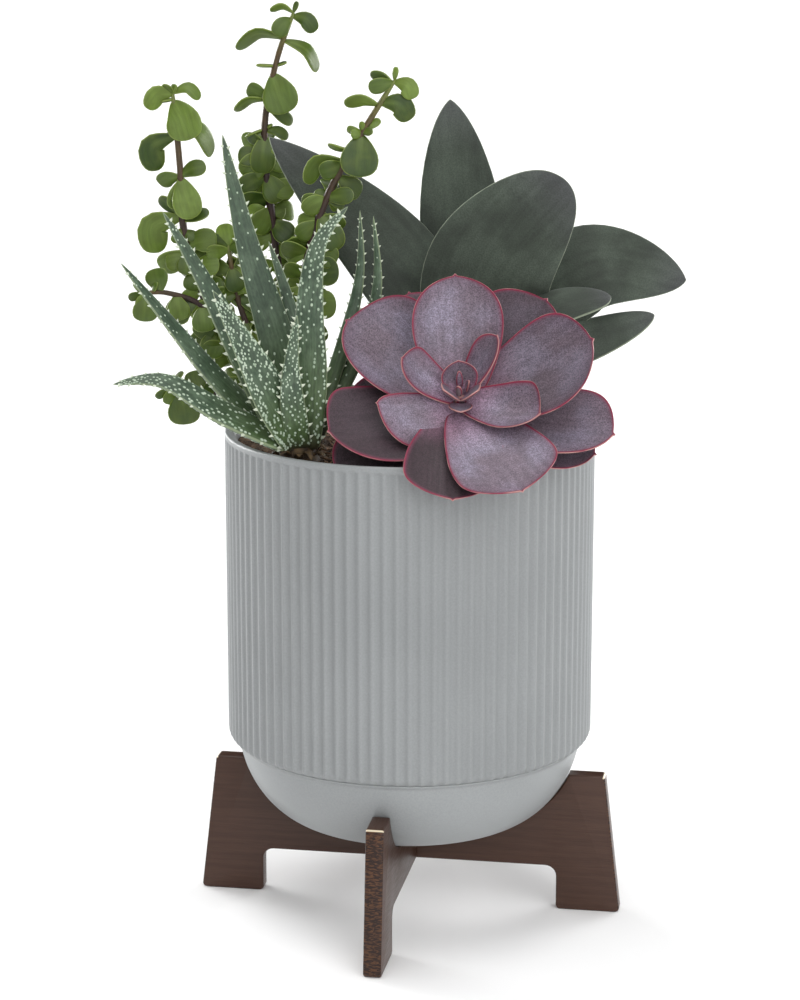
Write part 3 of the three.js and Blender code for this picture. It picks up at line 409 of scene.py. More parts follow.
# A leaf is a sphere's grid laid along a spine: its outline is a share of the half width at each place,
# its fullness a share of the half thickness, and cup raises its sides toward the way it faces.
class Leaf:
    def __init__(self, spine, face, width, thick, outline, fullness, cup=0.0, roll=0.0, relief=None):
        self.spine = np.asarray(spine, float)
        self.face = unit(np.asarray(face, float))
        self.width = width
        self.thick = thick
        self.outline = outline
        self.fullness = fullness
        self.cup = cup
        self.roll = math.radians(roll)
        self.relief = relief
        steps = along_spine(self.spine, np.linspace(0, 1, 40))
        self.length = np.linalg.norm(np.diff(steps, axis=0), axis=1).sum()

    def cross_frame(self, t):
        heading = heading_at(self.spine, t)
        side = unit(np.cross(heading, self.face))
        normal = np.cross(side, heading)
        turned_side = side * math.cos(self.roll) + normal * math.sin(self.roll)
        return turned_side, normal * math.cos(self.roll) - side * math.sin(self.roll)

    def half_width(self, t, across):
        return self.width / 2 * self.outline(t)

    def surface(self, t, across, through):
        side, normal = self.cross_frame(t)
        half_width = self.half_width(t, across)
        rise = self.thick / 2 * self.fullness(t) * through + self.cup * half_width * across ** 2
        if self.relief:
            rise = rise + self.relief(t, across, through, half_width)
        sideways = side * (half_width * across)[:, None]
        return along_spine(self.spine, t) + sideways + normal * rise[:, None]

    def flat_place(self, t, across):
        return np.stack([self.half_width(t, across) * across, self.length * t], 1)

    def margin(self, t, across):
        edge_t = (1 - np.cos(np.linspace(0.35, math.pi, 150))) / 2
        place = self.flat_place(t, across)
        edges = [self.flat_place(edge_t, np.full_like(edge_t, side)) for side in (-1.0, 1.0)]
        reach = [np.linalg.norm(place[:, None] - edge[None], axis=2).min(1) for edge in edges]
        return np.where(across < 0, *reach)


def leaf_grid(around, along):
    """Places along, across and through a leaf: rings of points, with one point at each end."""
    turn = np.linspace(0, math.pi, along + 1)[1:-1]
    angle = full_turn(around)
    t = np.concatenate([[0.0], np.repeat((1 - np.cos(turn)) / 2, around), [1.0]])
    across = np.concatenate([[0.0], np.tile(np.cos(angle), along - 1), [0.0]])
    through = np.concatenate([[0.0], np.tile(np.sin(angle), along - 1), [0.0]])
    return t, across, through


def grid_faces(around, rings):
    last = 1 + rings * around
    faces = []
    for j in range(around):
        k = (j + 1) % around
        faces.append((0, 1 + k, 1 + j))
        faces.append((last, last - around + j, last - around + k))
        for r in range(rings - 1):
            low = 1 + r * around
            faces.append((low + j, low + k, low + around + k, low + around + j))
    return faces


def add_leaf(skin, leaf, around, along, tone):
    """Adds a leaf. The margin line of a short leaf is finer, so its distances count for more."""
    t, across, through = leaf_grid(around, along)
    points = leaf.surface(t, across, through)
    margin = leaf.margin(t, across) * max(1, FULL_LINE / leaf.length)
    place = np.column_stack([leaf.flat_place(t, across), margin])
    kind = np.column_stack([np.full_like(t, tone), (through > 0).astype(float), t])
    skin.add(points, grid_faces(around, along - 1), place, kind)


def stem_outline(t):
    """A stem that thins toward its tip and closes round at both ends."""
    return (1 - 0.3 * smooth_step(0.4, 1, t)) * np.sqrt(np.maximum(0, 1 - np.abs(2 * t - 1) ** 12))


def stem_round(t):
    return np.sqrt(np.maximum(0, 1 - (2 * t - 1) ** 2))


def add_stem(skin, points, radius, around, along, tone, relief=None):
    stem = Leaf(points, (0.3, -1, 0.1), 2 * radius, 2 * radius, stem_outline, stem_outline, relief=relief)
    add_leaf(skin, stem, around, along, tone)


# The pot
def bowl_point(share):
    """A point of the bowl's underside, from the flat base at 0 to the foot of the ribs at 1."""
    lean = math.radians(BOWL_TOP_LEAN_DEG)
    knee = (BOWL_TOP_RADIUS - BOWL_TOP_PULL * math.sin(lean), BOWL_TOP_Z - BOWL_TOP_PULL * math.cos(lean))
    points = ((BASE_RADIUS, BASE_Z), (BASE_RADIUS + BASE_PULL, BASE_Z), knee, (BOWL_TOP_RADIUS, BOWL_TOP_Z))
    rest = 1 - share
    weights = (rest ** 3, 3 * rest ** 2 * share, 3 * rest * share ** 2, share ** 3)
    return tuple(sum(weight * point[k] for weight, point in zip(weights, points)) for k in (0, 1))


def pot_profile():
    """Rows of radius, height and share of the rib depth, from the centre of the base to that of the floor."""
    rows = [(r, BASE_Z, 0) for r in (0.01, 14, 28, 35)]
    rows += [(*bowl_point(k / 30), 0) for k in range(31)]
    rows += [(BOWL_TOP_RADIUS + out, BOWL_TOP_Z + up, 0) for out, up in BEAD]
    rows.append((RIB_FOOT_RADIUS, RIB_BOTTOM_Z, 0))
    for k in range(1, SHOULDER_STEPS + 1):
        turn = math.pi / 2 * k / SHOULDER_STEPS
        out, up = math.sin(turn), 1 - math.cos(turn)
        radius = RIB_FOOT_RADIUS + (VALLEY_RADIUS - RIB_FOOT_RADIUS) * out
        rows.append((radius, RIB_BOTTOM_Z + SHOULDER_RISE * up, 0.4 + 0.6 * out))
    rows += [(VALLEY_RADIUS, z, 1) for z in (80, 95, 110, 125, 140, 155, 163)]
    rows += [(VALLEY_RADIUS + out, RIB_TOP_Z + up, share) for out, up, share in RIB_ENDS]
    rows.append((POT_RADIUS, RIM_Z - RIM_FACE, 0))
    rows += [quarter(POT_RADIUS - OUTER_LIP, RIM_Z - OUTER_LIP, OUTER_LIP, k / 5) for k in range(6)]
    rows += [quarter(INNER_RADIUS + INNER_LIP, RIM_Z - INNER_LIP, INNER_LIP, 1 + k / 8) for k in range(9)]
    rows += [(INNER_RADIUS, z, 0) for z in (170, 120)]
    rows += [(radius, z, 0) for radius, z in INNER_BOWL]
    return rows + [(0.01, FLOOR_TOP_Z, 0)]


def quarter(radius, z, size, share):
    turn = math.pi / 2 * share
    return (radius + size * math.cos(turn), z + size * math.sin(turn), 0)


def make_pot():
    """Here place says how near a point is to a rib's crest, and whether it is on the bowl or the bead. The
    glaze uses these for painted shade in the grooves, painted light on the bowl and a painted highlight on
    the bead.
    """
    rows = pot_profile()
    around = RIB_COUNT * RIB_STEPS
    angle = full_turn(around)
    ridge = (0.5 + 0.5 * np.cos(RIB_COUNT * angle)) ** RIB_CREST_POWER
    rings = [[[0, 0, BASE_Z]]]
    marks = [np.zeros((1, 3))]
    for radius, z, share in rows:
        rings.append(level_ring(radius + share * RIB_DEPTH * ridge, z, angle))
        mark = np.zeros((around, 3))
        mark[:, 0] = 1 - share * (1 - ridge)
        mark[:, 1] = z < BOWL_TOP_Z
        mark[:, 2] = BOWL_TOP_Z < z < RIB_BOTTOM_Z
        marks.append(mark)
    rings.append([[0, 0, FLOOR_TOP_Z]])
    marks.append(np.zeros((1, 3)))
    skin = Skin()
    skin.add(np.concatenate(rings), grid_faces(around, len(rows)), np.concatenate(marks))
    add_piece("pot_body", skin, ceramic_paint(), "ceramic", "pot")


# The stand
def arc(centre, size, from_deg, to_deg, steps=6):
    turns = [math.radians(from_deg + (to_deg - from_deg) * k / steps) for k in range(steps + 1)]
    return [(centre[0] + size * math.cos(a), centre[1] + size * math.sin(a)) for a in turns]


def cradle_points():
    """The bowl's own curve moved out by the gap, from the flat top of the plank down to the base."""
    steps = 60
    points = []
    for k in range(steps + 1):
        radius, z = bowl_point(k / steps)
        before = bowl_point(max(k - 1, 0) / steps)
        after = bowl_point(min(k + 1, steps) / steps)
        run, rise = after[0] - before[0], after[1] - before[1]
        length = math.hypot(run, rise)
        points.append((radius + GAP * rise / length, z - GAP * run / length))
    low = [p for p in points if p[1] < STAND_HEIGHT]
    edge = points[len(low)]
    share = (STAND_HEIGHT - low[-1][1]) / (edge[1] - low[-1][1])
    low.append((low[-1][0] + (edge[0] - low[-1][0]) * share, STAND_HEIGHT))
    return low[::-1]


def half_outline(notch_above):
    """The right half of a plank's side, from the middle of its underside round to that of its cradle."""
    notch = PLANK_THICKNESS / 2 + GAP
    points = [(0, UNDERSIDE_Z)] if notch_above else [(0, LAP_Z), (notch, LAP_Z), (notch, UNDERSIDE_Z)]
    points += arc((FOOT_INNER - FOOT_FILLET, UNDERSIDE_Z - FOOT_FILLET), FOOT_FILLET, 90, 0)
    points += arc((FOOT_INNER + CORNER, CORNER), CORNER, 180, 270)
    points += arc((FOOT_OUTER - CORNER - FOOT_INSET, CORNER), CORNER, 270, 360)
    points += arc((TOP_OUTER - CORNER, STAND_HEIGHT - CORNER), CORNER, 0, 90)
    points += cradle_points()
    middle = points[-1][1]
    points += [(notch, middle), (notch, LAP_Z), (0, LAP_Z)] if notch_above else [(0, middle)]
    return points


def plank_outline(notch_above):
    right = half_outline(notch_above)
    left = [(-across, height) for across, height in reversed(right) if across > 0]
    return np.array(right + left)


def outline_normals(points):
    ahead = unit(np.roll(points, -1, axis=0) - points)
    behind = np.roll(ahead, 1, axis=0)
    normal_ahead = np.stack([ahead[:, 1], -ahead[:, 0]], 1)
    normal_behind = np.stack([behind[:, 1], -behind[:, 0]], 1)
    middle = unit(normal_ahead + normal_behind)
    stretch = np.maximum(0.5, (middle * normal_ahead).sum(1))
    return middle / stretch[:, None], normal_ahead


def plank_section():
    """Each ring's distance in from the outline and its depth, round at both faces."""
    half = PLANK_THICKNESS / 2
    r = PLANK_EDGE_ROUND
    turns = [math.pi / 2 * k / PLANK_EDGE_STEPS for k in range(PLANK_EDGE_STEPS + 1)]
    section = [(r * (1 - math.sin(a)), r * (1 - math.cos(a)) - half) for a in turns]
    return section + [(inset, -depth) for inset, depth in reversed(section)]


def plank_faces(count, rings):
    """The two flat sides first, then the faces from ring to ring."""
    last = (rings - 1) * count
    faces = [tuple(range(count)), tuple(reversed(range(last, last + count)))]
    for k in range(rings - 1):
        for j in range(count):
            i = (j + 1) % count
            faces.append((k * count + j, k * count + i, (k + 1) * count + i, (k + 1) * count + j))
    return faces


def plank_kinds(outline, normals, flats, rings):
    """How far each point is on an end and on the rounded upper edge of an end, where a highlight is painted,
    and 1 for all but the two flat sides.
    """
    far_out = np.abs(outline[:, 0]) > END_ACROSS
    end = np.abs(flats[:, 0]) * far_out
    # Painted highlight: the part of the rounded upper edge of an end that faces partly up.
    corner_highlight = smooth_step(0.45, 0.6, normals[:, 1]) * smooth_step(0.95, 0.8, normals[:, 1])
    corner_highlight = corner_highlight * far_out * (outline[:, 1] > LAP_Z)
    inner = np.repeat([0.0] + [1.0] * (rings - 2) + [0.0], len(outline))
    return np.column_stack([np.tile(end, rings), np.tile(corner_highlight, rings), inner]) * inner[:, None]


def make_plank(name, node, notch_above, turn_deg):
    """Here place is the point itself in the plank, before it is turned."""
    outline = plank_outline(notch_above)
    normals, flats = outline_normals(outline)
    section = plank_section()
    rings = []
    for inset, depth in section:
        side = outline - normals * inset
        rings.append(np.column_stack([side[:, 0], np.full(len(outline), depth), side[:, 1]]))
    local = np.concatenate(rings)
    faces = plank_faces(len(outline), len(section))
    skin = Skin()
    turned = local @ turn_about_z(math.radians(turn_deg)).T
    skin.add(turned, faces, local, plank_kinds(outline, normals, flats, len(section)))
    mesh = add_piece(name, skin, wood_paint(name + "_paint"), "wood", node)
    for flat_side in mesh.polygons[:2]:
        flat_side.use_smooth = False
    mesh.set_sharp_from_angle(angle=math.radians(SHARP_DEG))


# The soil
def soil_height(x, y):
    reach = np.hypot(x, y)
    waves = 0.5 * np.sin(x * 0.31 + 1.7) * np.cos(y * 0.27 - 0.6) + 0.3 * np.sin(x * y * 0.02)
    grains = 0.35 * np.sin(x * 1.9 + 2 * np.sin(y * 1.3)) * np.sin(y * 2.3 + 1.5 * np.sin(x * 1.7))
    return SOIL_TOP_Z + (waves + grains) * (reach < INNER_RADIUS - 1)


def make_soil(draw):
    around = 240
    angle = full_turn(around)
    outer = INNER_RADIUS - GAP
    rings = [[[0, 0, SOIL_TOP_Z]]]
    for radius in np.concatenate([np.linspace(0.4, outer - 0.8, 76), [outer]]):
        ring = level_ring(radius, 0.0, angle)
        ring[:, 2] = soil_height(ring[:, 0], ring[:, 1])
        rings.append(ring)
    for radius, z in [(outer, 120), *((radius - 0.45, z + 0.4) for radius, z in INNER_BOWL)]:
        rings.append(level_ring(radius, z, angle))
    rings.append([[0, 0, SOIL_FLOOR_Z]])
    bed = Skin()
    bed.add(np.concatenate(rings), grid_faces(around, len(rings) - 2))
    for _ in range(CRUMBS):
        add_crumb(bed, draw)
    add_piece("soil_bed", bed, soil_paint(), "soil", "soil")
    fibres = Skin()
    for _ in range(FIBRES):
        add_fibre(fibres, draw)
    add_piece("soil_fibres", fibres, fibre_paint(), "soil")


def add_crumb(skin, draw):
    reach = (INNER_RADIUS - 2.5) * math.sqrt(draw.random())
    turn = draw.uniform(0, 2 * math.pi)
    size = CRUMB_LEAST + CRUMB_SPREAD * draw.random() ** 3
    x, y = reach * math.cos(turn), reach * math.sin(turn)
    centre = np.array([x, y, soil_height(x, y) + size * 0.35])
    t, across, through = leaf_grid(6, 4)
    ring = np.sin(np.arccos(1 - 2 * t))
    points = np.column_stack([across * ring, through * ring, 1 - 2 * t])
    lumps = np.array([draw.uniform(0.65, 1.2) for _ in range(len(points))])
    stretch = np.array([1, draw.uniform(0.6, 1), draw.uniform(0.5, 0.9)])
    points = points * lumps[:, None] * size * stretch
    kind = (draw.random(), 0, 0)
    skin.add(points @ turn_about_z(draw.uniform(0, 6.3)).T + centre, grid_faces(6, 3), None, kind)


def add_fibre(skin, draw):
    reach = (INNER_RADIUS - 9) * math.sqrt(draw.random())
    turn = draw.uniform(0, 2 * math.pi)
    heading = draw.uniform(0, 2 * math.pi)
    length = draw.uniform(*FIBRE_LENGTH)
    points = []
    for k in range(4):
        x = reach * math.cos(turn) + length * k / 3 * math.cos(heading)
        y = reach * math.sin(turn) + length * k / 3 * math.sin(heading)
        heading += draw.uniform(-0.5, 0.5)
        lift = 0.5 + draw.uniform(0, 0.9)
        points.append((x, y, soil_height(x, y) + lift))
    add_stem(skin, points, draw.uniform(*FIBRE_RADIUS), 5, 8, draw.random())


# The rosette
def petal_outline(t, start, widest):
    """Share of the half width, with a small point at the tip."""
    s = np.clip(t / widest, 0, 1)
    lower = start + (1 - start) * (1.5 * s - 0.5 * s ** 3)
    x = np.clip((t - widest) / (0.97 - widest), 0, 1)
    point = np.where(t > 0.9, 0.06 * (1 - t) / 0.035, 0)
    return np.where(t < widest, lower, np.maximum((1 - x ** 2.3) ** 0.68, point)) * start_taper(t, 0.05)


class Petal(Leaf):
    """A leaf whose left and right halves have their own width and their own widest place."""

    def shape(self, left, right, start, widest_left, widest_right):
        self.left = (left, widest_left)
        self.right = (right, widest_right)
        self.start = start
        return self

    def half_width(self, t, across):
        halves = (self.left, self.right)
        left, right = (reach * petal_outline(t, self.start, widest) for reach, widest in halves)
        return left + (right - left) * smooth_step(-0.12, 0.12, across)


def petal_fullness(t):
    return (0.95 - 0.5 * t) * np.sqrt(np.maximum(0, 1 - t ** 8)) * start_taper(t, 0.05)


def petal_relief(phase):
    """A shallow crease along the middle, a slow wave and a fine raised rim."""
    def relief(t, across, through, half_width):
        crease = -0.45 * np.exp(-(across / 0.13) ** 2) * np.clip(1.8 * t - 0.5, 0, 1)
        wave = 0.035 * half_width * np.sin(6 * t + 2.2 * across + phase) * across ** 2
        rim = 0.22 * np.exp(-((1 - np.abs(across)) * half_width / 0.6) ** 2) * (through > 0)
        return (crease + wave) * smooth_step(0, 8, half_width) + rim * smooth_step(0.1, 0.3, t)
    return relief


def petal(row, phase):
    azimuth, lift, length, left, right, start, widest_left, widest_right, curl, sink, roll, cup = row
    tilt, a, e = (math.radians(v) for v in (ROSETTE_TILT_DEG, azimuth, lift))
    axis = np.array([0, -math.sin(tilt), math.cos(tilt)])
    upward = np.array([0, math.cos(tilt), math.sin(tilt)])
    outward = np.array([1, 0, 0]) * math.sin(a) + upward * math.cos(a)
    along = outward * math.cos(e) + axis * math.sin(e)
    face = axis * math.cos(e) - outward * math.sin(e)
    base = ROSETTE_CENTRE - sink * axis + 2 * outward
    middle = base + along * length / 2 - face * curl * length * 0.6
    thick = min(PETAL_THICKEST, 0.9 + 0.08 * length)
    leaf = Petal(
        [base, middle, base + along * length], face, left + right, thick, None, petal_fullness,
        cup=cup, roll=roll, relief=petal_relief(phase))
    return leaf.shape(left, right, start, widest_left, widest_right)


def make_rosette(draw):
    leaves = Skin()
    for *row, lightness_and_shade in ROSETTE_LEAVES:
        leaf = petal(row, draw.uniform(0, 6.3))
        grid = PETAL_GRID if leaf.length > FULL_PETAL else SMALL_PETAL_GRID
        add_leaf(leaves, leaf, *grid, lightness_and_shade)
    for bud in ROSETTE_BUDS:
        add_leaf(leaves, petal(bud + BUD_SHAPE, 0), *BUD_GRID, 1.0)
    # The heart's low lightness darkens it like the shaded leaves: partly its own colour, partly painted
    # shade.
    add_stem(leaves, ROSETTE_HEART, ROSETTE_HEART_RADIUS, 24, 20, 0.1)
    add_piece("rosette_leaves", leaves, rosette_paint(), "rosette_leaf", "rosette")
    stem = Skin()
    add_stem(stem, ROSETTE_STEM, ROSETTE_STEM_RADIUS, 28, 40, 0.3)
    core = [ROSETTE_CENTRE + np.array([0, 4, z]) for z in (-13, -9, -5)]
    width = ROSETTE_CORE_WIDTH
    add_leaf(stem, Leaf(core, (0, -1, 0), width, width, stem_round, stem_round), 28, 20, 0.5)
    add_piece("rosette_stem", stem, root_stem_paint("rosette_stem_paint"), "rosette_leaf")


# The propeller plant
def propeller_swell(t):
    """From 0 at the base over 1, a little before the middle, to 0 at the tip."""
    return np.maximum(0, np.sin(math.pi * np.clip(t, 0, 1) ** 0.8))


def propeller_fullness(t):
    return propeller_swell(t) ** 0.4


def propeller_outline(point):
    return lambda t: propeller_swell(t) ** (0.5 + (point - 0.5) * t)


def propeller_relief(phase):
    """A faint fold along the middle and a slow wave."""
    def relief(t, across, through, half_width):
        fold = -0.35 * np.exp(-(across / 0.16) ** 2)
        wave = 0.02 * half_width * np.sin(5 * t + 1.8 * across + phase)
        return (fold + wave) * np.sin(math.pi * t)
    return relief


def make_propeller_plant(draw):
    leaves = Skin()
    for spine, facing, width, point in PROPELLER_LEAVES:
        leaf = Leaf(
            spine, facing, width, PROPELLER_THICK, propeller_outline(point), propeller_fullness,
            cup=0.06, relief=propeller_relief(draw.uniform(0, 6.3)))
        add_leaf(leaves, leaf, *PROPELLER_GRID, draw.random())
    add_piece("propeller_leaves", leaves, propeller_paint(), "propeller_leaf", "propeller_plant")
    stem = Skin()
    add_stem(stem, PROPELLER_STEM, PROPELLER_STEM_RADIUS, 36, 30, 0.6)
    add_piece("propeller_stem", stem, root_stem_paint("propeller_stem_paint"), "propeller_leaf")


# The aloe
def aloe_outline(t):
    t = np.clip(t, 0, 1)
    spread = 0.66 + 0.34 * np.sin(np.minimum(1, t / 0.35) * (math.pi / 2))
    return spread * (1 - t ** 1.5) ** 0.85 * start_taper(t, 0.04)


def surface_frame(leaf, t, across, through):
    """A point of a leaf's surface and the direction straight out of it."""
    angle = math.atan2(through, across) + 0.05
    point, ahead, beside = leaf.surface(
        np.array([t, t + 0.01, t]), np.array([across, across, math.cos(angle)]),
        np.array([through, through, math.sin(angle)]))
    normal = unit(np.cross(ahead - point, beside - point))
    centre = along_spine(leaf.spine, np.array([t]))[0]
    return point, normal if np.dot(normal, point - centre) > 0 else -normal


def add_dome(skin, point, normal, heading, radius, height):
    """A small raised dot, a little longer along the leaf. Its kind says how near a point is to the top."""
    sides = 8
    right = unit(np.cross(normal, heading))
    up = np.cross(right, normal) * DOT_STRETCH
    angle = full_turn(sides)
    circle = np.cos(angle)[:, None] * right + np.sin(angle)[:, None] * up
    section = ((1, -0.6), (0.85, 0.45), (0.5, 0.85))
    rings = [circle * radius * share + normal * height * rise for share, rise in section]
    points = np.concatenate([[-normal * height * 0.8], *rings, [normal * height]]) + point
    middle = np.repeat([0.0, 0.0, 0.25, 1.0, 1.0], [1, sides, sides, sides, 1])
    flat = np.zeros_like(middle)
    skin.add(points, grid_faces(sides, 3), None, np.column_stack([flat, middle, flat]))


def add_tooth(skin, leaf, t, across, size):
    """A pointed tooth that stands out of the leaf's edge and leans toward the tip."""
    place = np.array([t])
    side, normal = leaf.cross_frame(place)
    edge = leaf.surface(place, np.array([across * 0.97]), np.array([0.0]))[0]
    ahead = heading_at(leaf.spine, place)[0]
    outward = unit(side[0] * across + ahead * 0.35)
    tip_way = unit(outward + ahead * 0.5)
    sides = 8
    angle = full_turn(sides)
    across_way = unit(np.cross(outward, normal[0]))
    circle = np.cos(angle)[:, None] * across_way * 1.25 + np.sin(angle)[:, None] * normal[0] * 0.6
    rings = [circle * size * 0.42 + outward * size * -0.35, circle * size * 0.33 + outward * size * 0.1]
    rings += [circle * size * 0.17 + outward * size * 0.5 + tip_way * size * 0.1]
    ends = [[outward * size * -0.4], [outward * size * 0.5 + tip_way * size * 0.55]]
    skin.add(np.concatenate([ends[0], *rings, ends[1]]) + edge, grid_faces(sides, 3), None, (1.0, 0, 0))


def add_dots(skin, leaf, count, dot_size, draw):
    for side in (1, -1):
        for k in range(count):
            t = 0.06 + 0.86 * ((k + draw.random()) / count) ** 1.15
            turn = (k * GOLDEN_SHARE + draw.uniform(-0.16, 0.16)) % 1
            across = 0.9 * math.sin((turn - 0.5) * math.pi)
            through = side * math.sqrt(1 - across ** 2)
            size = dot_size * draw.uniform(0.75, 1.25) * (1 - 0.35 * t)
            point, normal = surface_frame(leaf, t, across, through)
            add_dome(skin, point, normal, heading_at(leaf.spine, np.array([t]))[0], size, size * 0.3)


def add_teeth(skin, leaf, draw):
    count = int(leaf.length * 0.9 / TOOTH_SPACING)
    full_size = TOOTH_SIZE if leaf.width > NARROW_LEAF else NARROW_TOOTH_SIZE
    for side in (1, -1):
        for k in range(count):
            t = 0.06 + 0.9 * (k + 0.5 + draw.uniform(-0.2, 0.2)) / count
            size = full_size * (1 - 0.4 * t) * draw.uniform(0.8, 1.15)
            add_tooth(skin, leaf, t, side, size)


def make_aloe(draw):
    leaves, teeth = Skin(), Skin()
    for spine, facing, width, dots, dot_size in ALOE_LEAVES:
        leaf = Leaf(spine, facing, width, ALOE_THICK, aloe_outline, aloe_outline, cup=0.22)
        add_leaf(leaves, leaf, *ALOE_GRID, draw.random())
        add_dots(teeth, leaf, dots, dot_size, draw)
        add_teeth(teeth, leaf, draw)
    foot = Skin()
    add_stem(foot, [(*ALOE_CENTRE, z) for z in (STEM_FOOT_Z, 170, 179)], ALOE_FOOT_RADIUS, 32, 20, 0.4)
    for k in range(ALOE_SCALES):
        add_scale(foot, k, draw)
    add_piece("aloe_leaves", leaves, aloe_paint(), "aloe_leaf", "aloe")
    add_piece("aloe_foot", foot, root_stem_paint("aloe_foot_paint"), "aloe_leaf")
    add_piece("aloe_teeth_and_dots", teeth, tooth_paint(), "aloe_leaf")


def add_scale(skin, k, draw):
    """A short dry scale at the foot, each one higher and further round than the last."""
    way = np.array([math.cos(SCALE_TURN * k), math.sin(SCALE_TURN * k), 0])
    start = np.array([*ALOE_CENTRE, 172 + 0.25 * k]) + 6.5 * way
    tip = start + way * draw.uniform(3, 6) + np.array([0, 0, draw.uniform(-1.5, 3)])
    spine = [start, (start + tip) / 2 + np.array([0, 0, 1.5]), tip]
    add_leaf(skin, Leaf(spine, (0, 0, 1), 4, 1.0, aloe_outline, aloe_outline), 14, 12, draw.random())


# The elephant bush
def bush_outline(t):
    """A teardrop that is widest at 62 % of its length."""
    s = np.clip(t / 0.62, 0, 1) ** 1.15
    lower = (0.16 + 0.84 * (1.5 * s - 0.5 * s ** 3)) * start_taper(t, 0.04)
    x = np.clip((t - 0.62) / 0.38, 0, 1)
    return np.where(t < 0.62, lower, (1 - x ** 2.3) ** 0.6)


def bush_fullness(t):
    return np.sqrt(np.maximum(0, 1 - np.abs(2 * t - 1) ** 3))


def bush_leaf(stem, place, angle, length, tilt, roll, wide, bow=0.0):
    a, e = math.radians(angle), math.radians(tilt)
    to_viewer = np.array([0, -1, 0])
    flat = np.array([math.sin(a), 0, math.cos(a)])
    uphill = np.array([-math.cos(a), 0, math.sin(a)]) * (1 if math.sin(a) > 0 else -1)
    along = flat * math.cos(e) + to_viewer * math.sin(e)
    face = to_viewer * math.cos(e) - flat * math.sin(e)
    base = along_spine(stem, np.array([place]))[0]
    middle = base + along * length / 2 + face * length * 0.07 + uphill * length * bow
    return Leaf(
        [base, middle, base + along * length], face, length * wide, BUSH_LEAF_THICK,
        bush_outline, bush_fullness, cup=0.12, roll=roll)


def filling_rows(low, high, count, draw):
    """Pairs of leaves low on a stem, each pair turned a quarter from the one below it."""
    rows = []
    for k in range(count):
        place = low + (high - low) * (k + draw.uniform(0.2, 0.8)) / count
        first = 80 if k % 2 else 170
        for angle in (first, first + 180):
            tilt = draw.uniform(-35, 20) if k % 2 else draw.uniform(-60, -20)
            rows.append((
                place, angle + draw.uniform(-35, 35), draw.uniform(7.5, 11), tilt, draw.uniform(-30, 30),
                draw.uniform(0.7, 0.95), draw.uniform(0, 0.15)))
    return rows


def stem_nodes(places, radius):
    """Slight swellings of a stem where its leaves grow."""
    def relief(t, across, through, half_width):
        swell = sum(np.exp(-((t - place) / NODE_LENGTH) ** 2) for place in sorted(set(places)))
        return 0.18 * radius * np.minimum(1, swell) * through
    return relief


def make_bush(name, node, stems, root, draw):
    leaves, wood = Skin(), Skin()
    for points, rows, radius, filling in stems:
        for row in rows + filling_rows(*filling, draw):
            grid = BUSH_GRID if row[2] > FULL_BUSH_LEAF else SMALL_BUSH_GRID
            add_leaf(leaves, bush_leaf(points, *row), *grid, draw.random() ** 1.3)
        add_stem(wood, points, radius, 12, 90, draw.random(), stem_nodes([row[0] for row in rows], radius))
    foot, foot_radius = root
    add_stem(wood, [(*foot, z) for z in (STEM_FOOT_Z, 168, 173.5)], foot_radius, 20, 14, 0.2)
    add_piece(name + "_leaves", leaves, bush_paint(name + "_leaf_paint"), "bush_leaf", node)
    add_piece(name + "_stems", wood, bush_stem_paint(name + "_stem_paint"), "bush_leaf")


# Materials
def tone(red, green, blue):
    """A screen colour from 0 to 255 as the linear colour that a shader takes."""
    parts = [v / 255 for v in (red, green, blue)]
    return (*[v / 12.92 if v <= 0.04045 else ((v + 0.055) / 1.055) ** 2.4 for v in parts], 1.0)


class Nodes:
    """Short calls for the shader nodes of a material or of the sky."""

    def __init__(self, owner):
        owner.use_nodes = True
        self.nodes = owner.node_tree.nodes
        self.links = owner.node_tree.links

    def feed(self, socket, value):
        if isinstance(value, bpy.types.NodeSocket):
            self.links.new(value, socket)
        else:
            socket.default_value = value

    def add(self, kind, inputs=None, **settings):
        node = self.nodes.new("ShaderNode" + kind)
        for key, value in settings.items():
            setattr(node, key, value)
        for key, value in (inputs or {}).items():
            self.feed(node.inputs[key], value)
        return node

    def calc(self, operation, a, b=0.0, clamp=False):
        return self.add("Math", {0: a, 1: b}, operation=operation, use_clamp=clamp).outputs[0]

    def times(self, a, b):
        return self.calc("MULTIPLY", a, b)


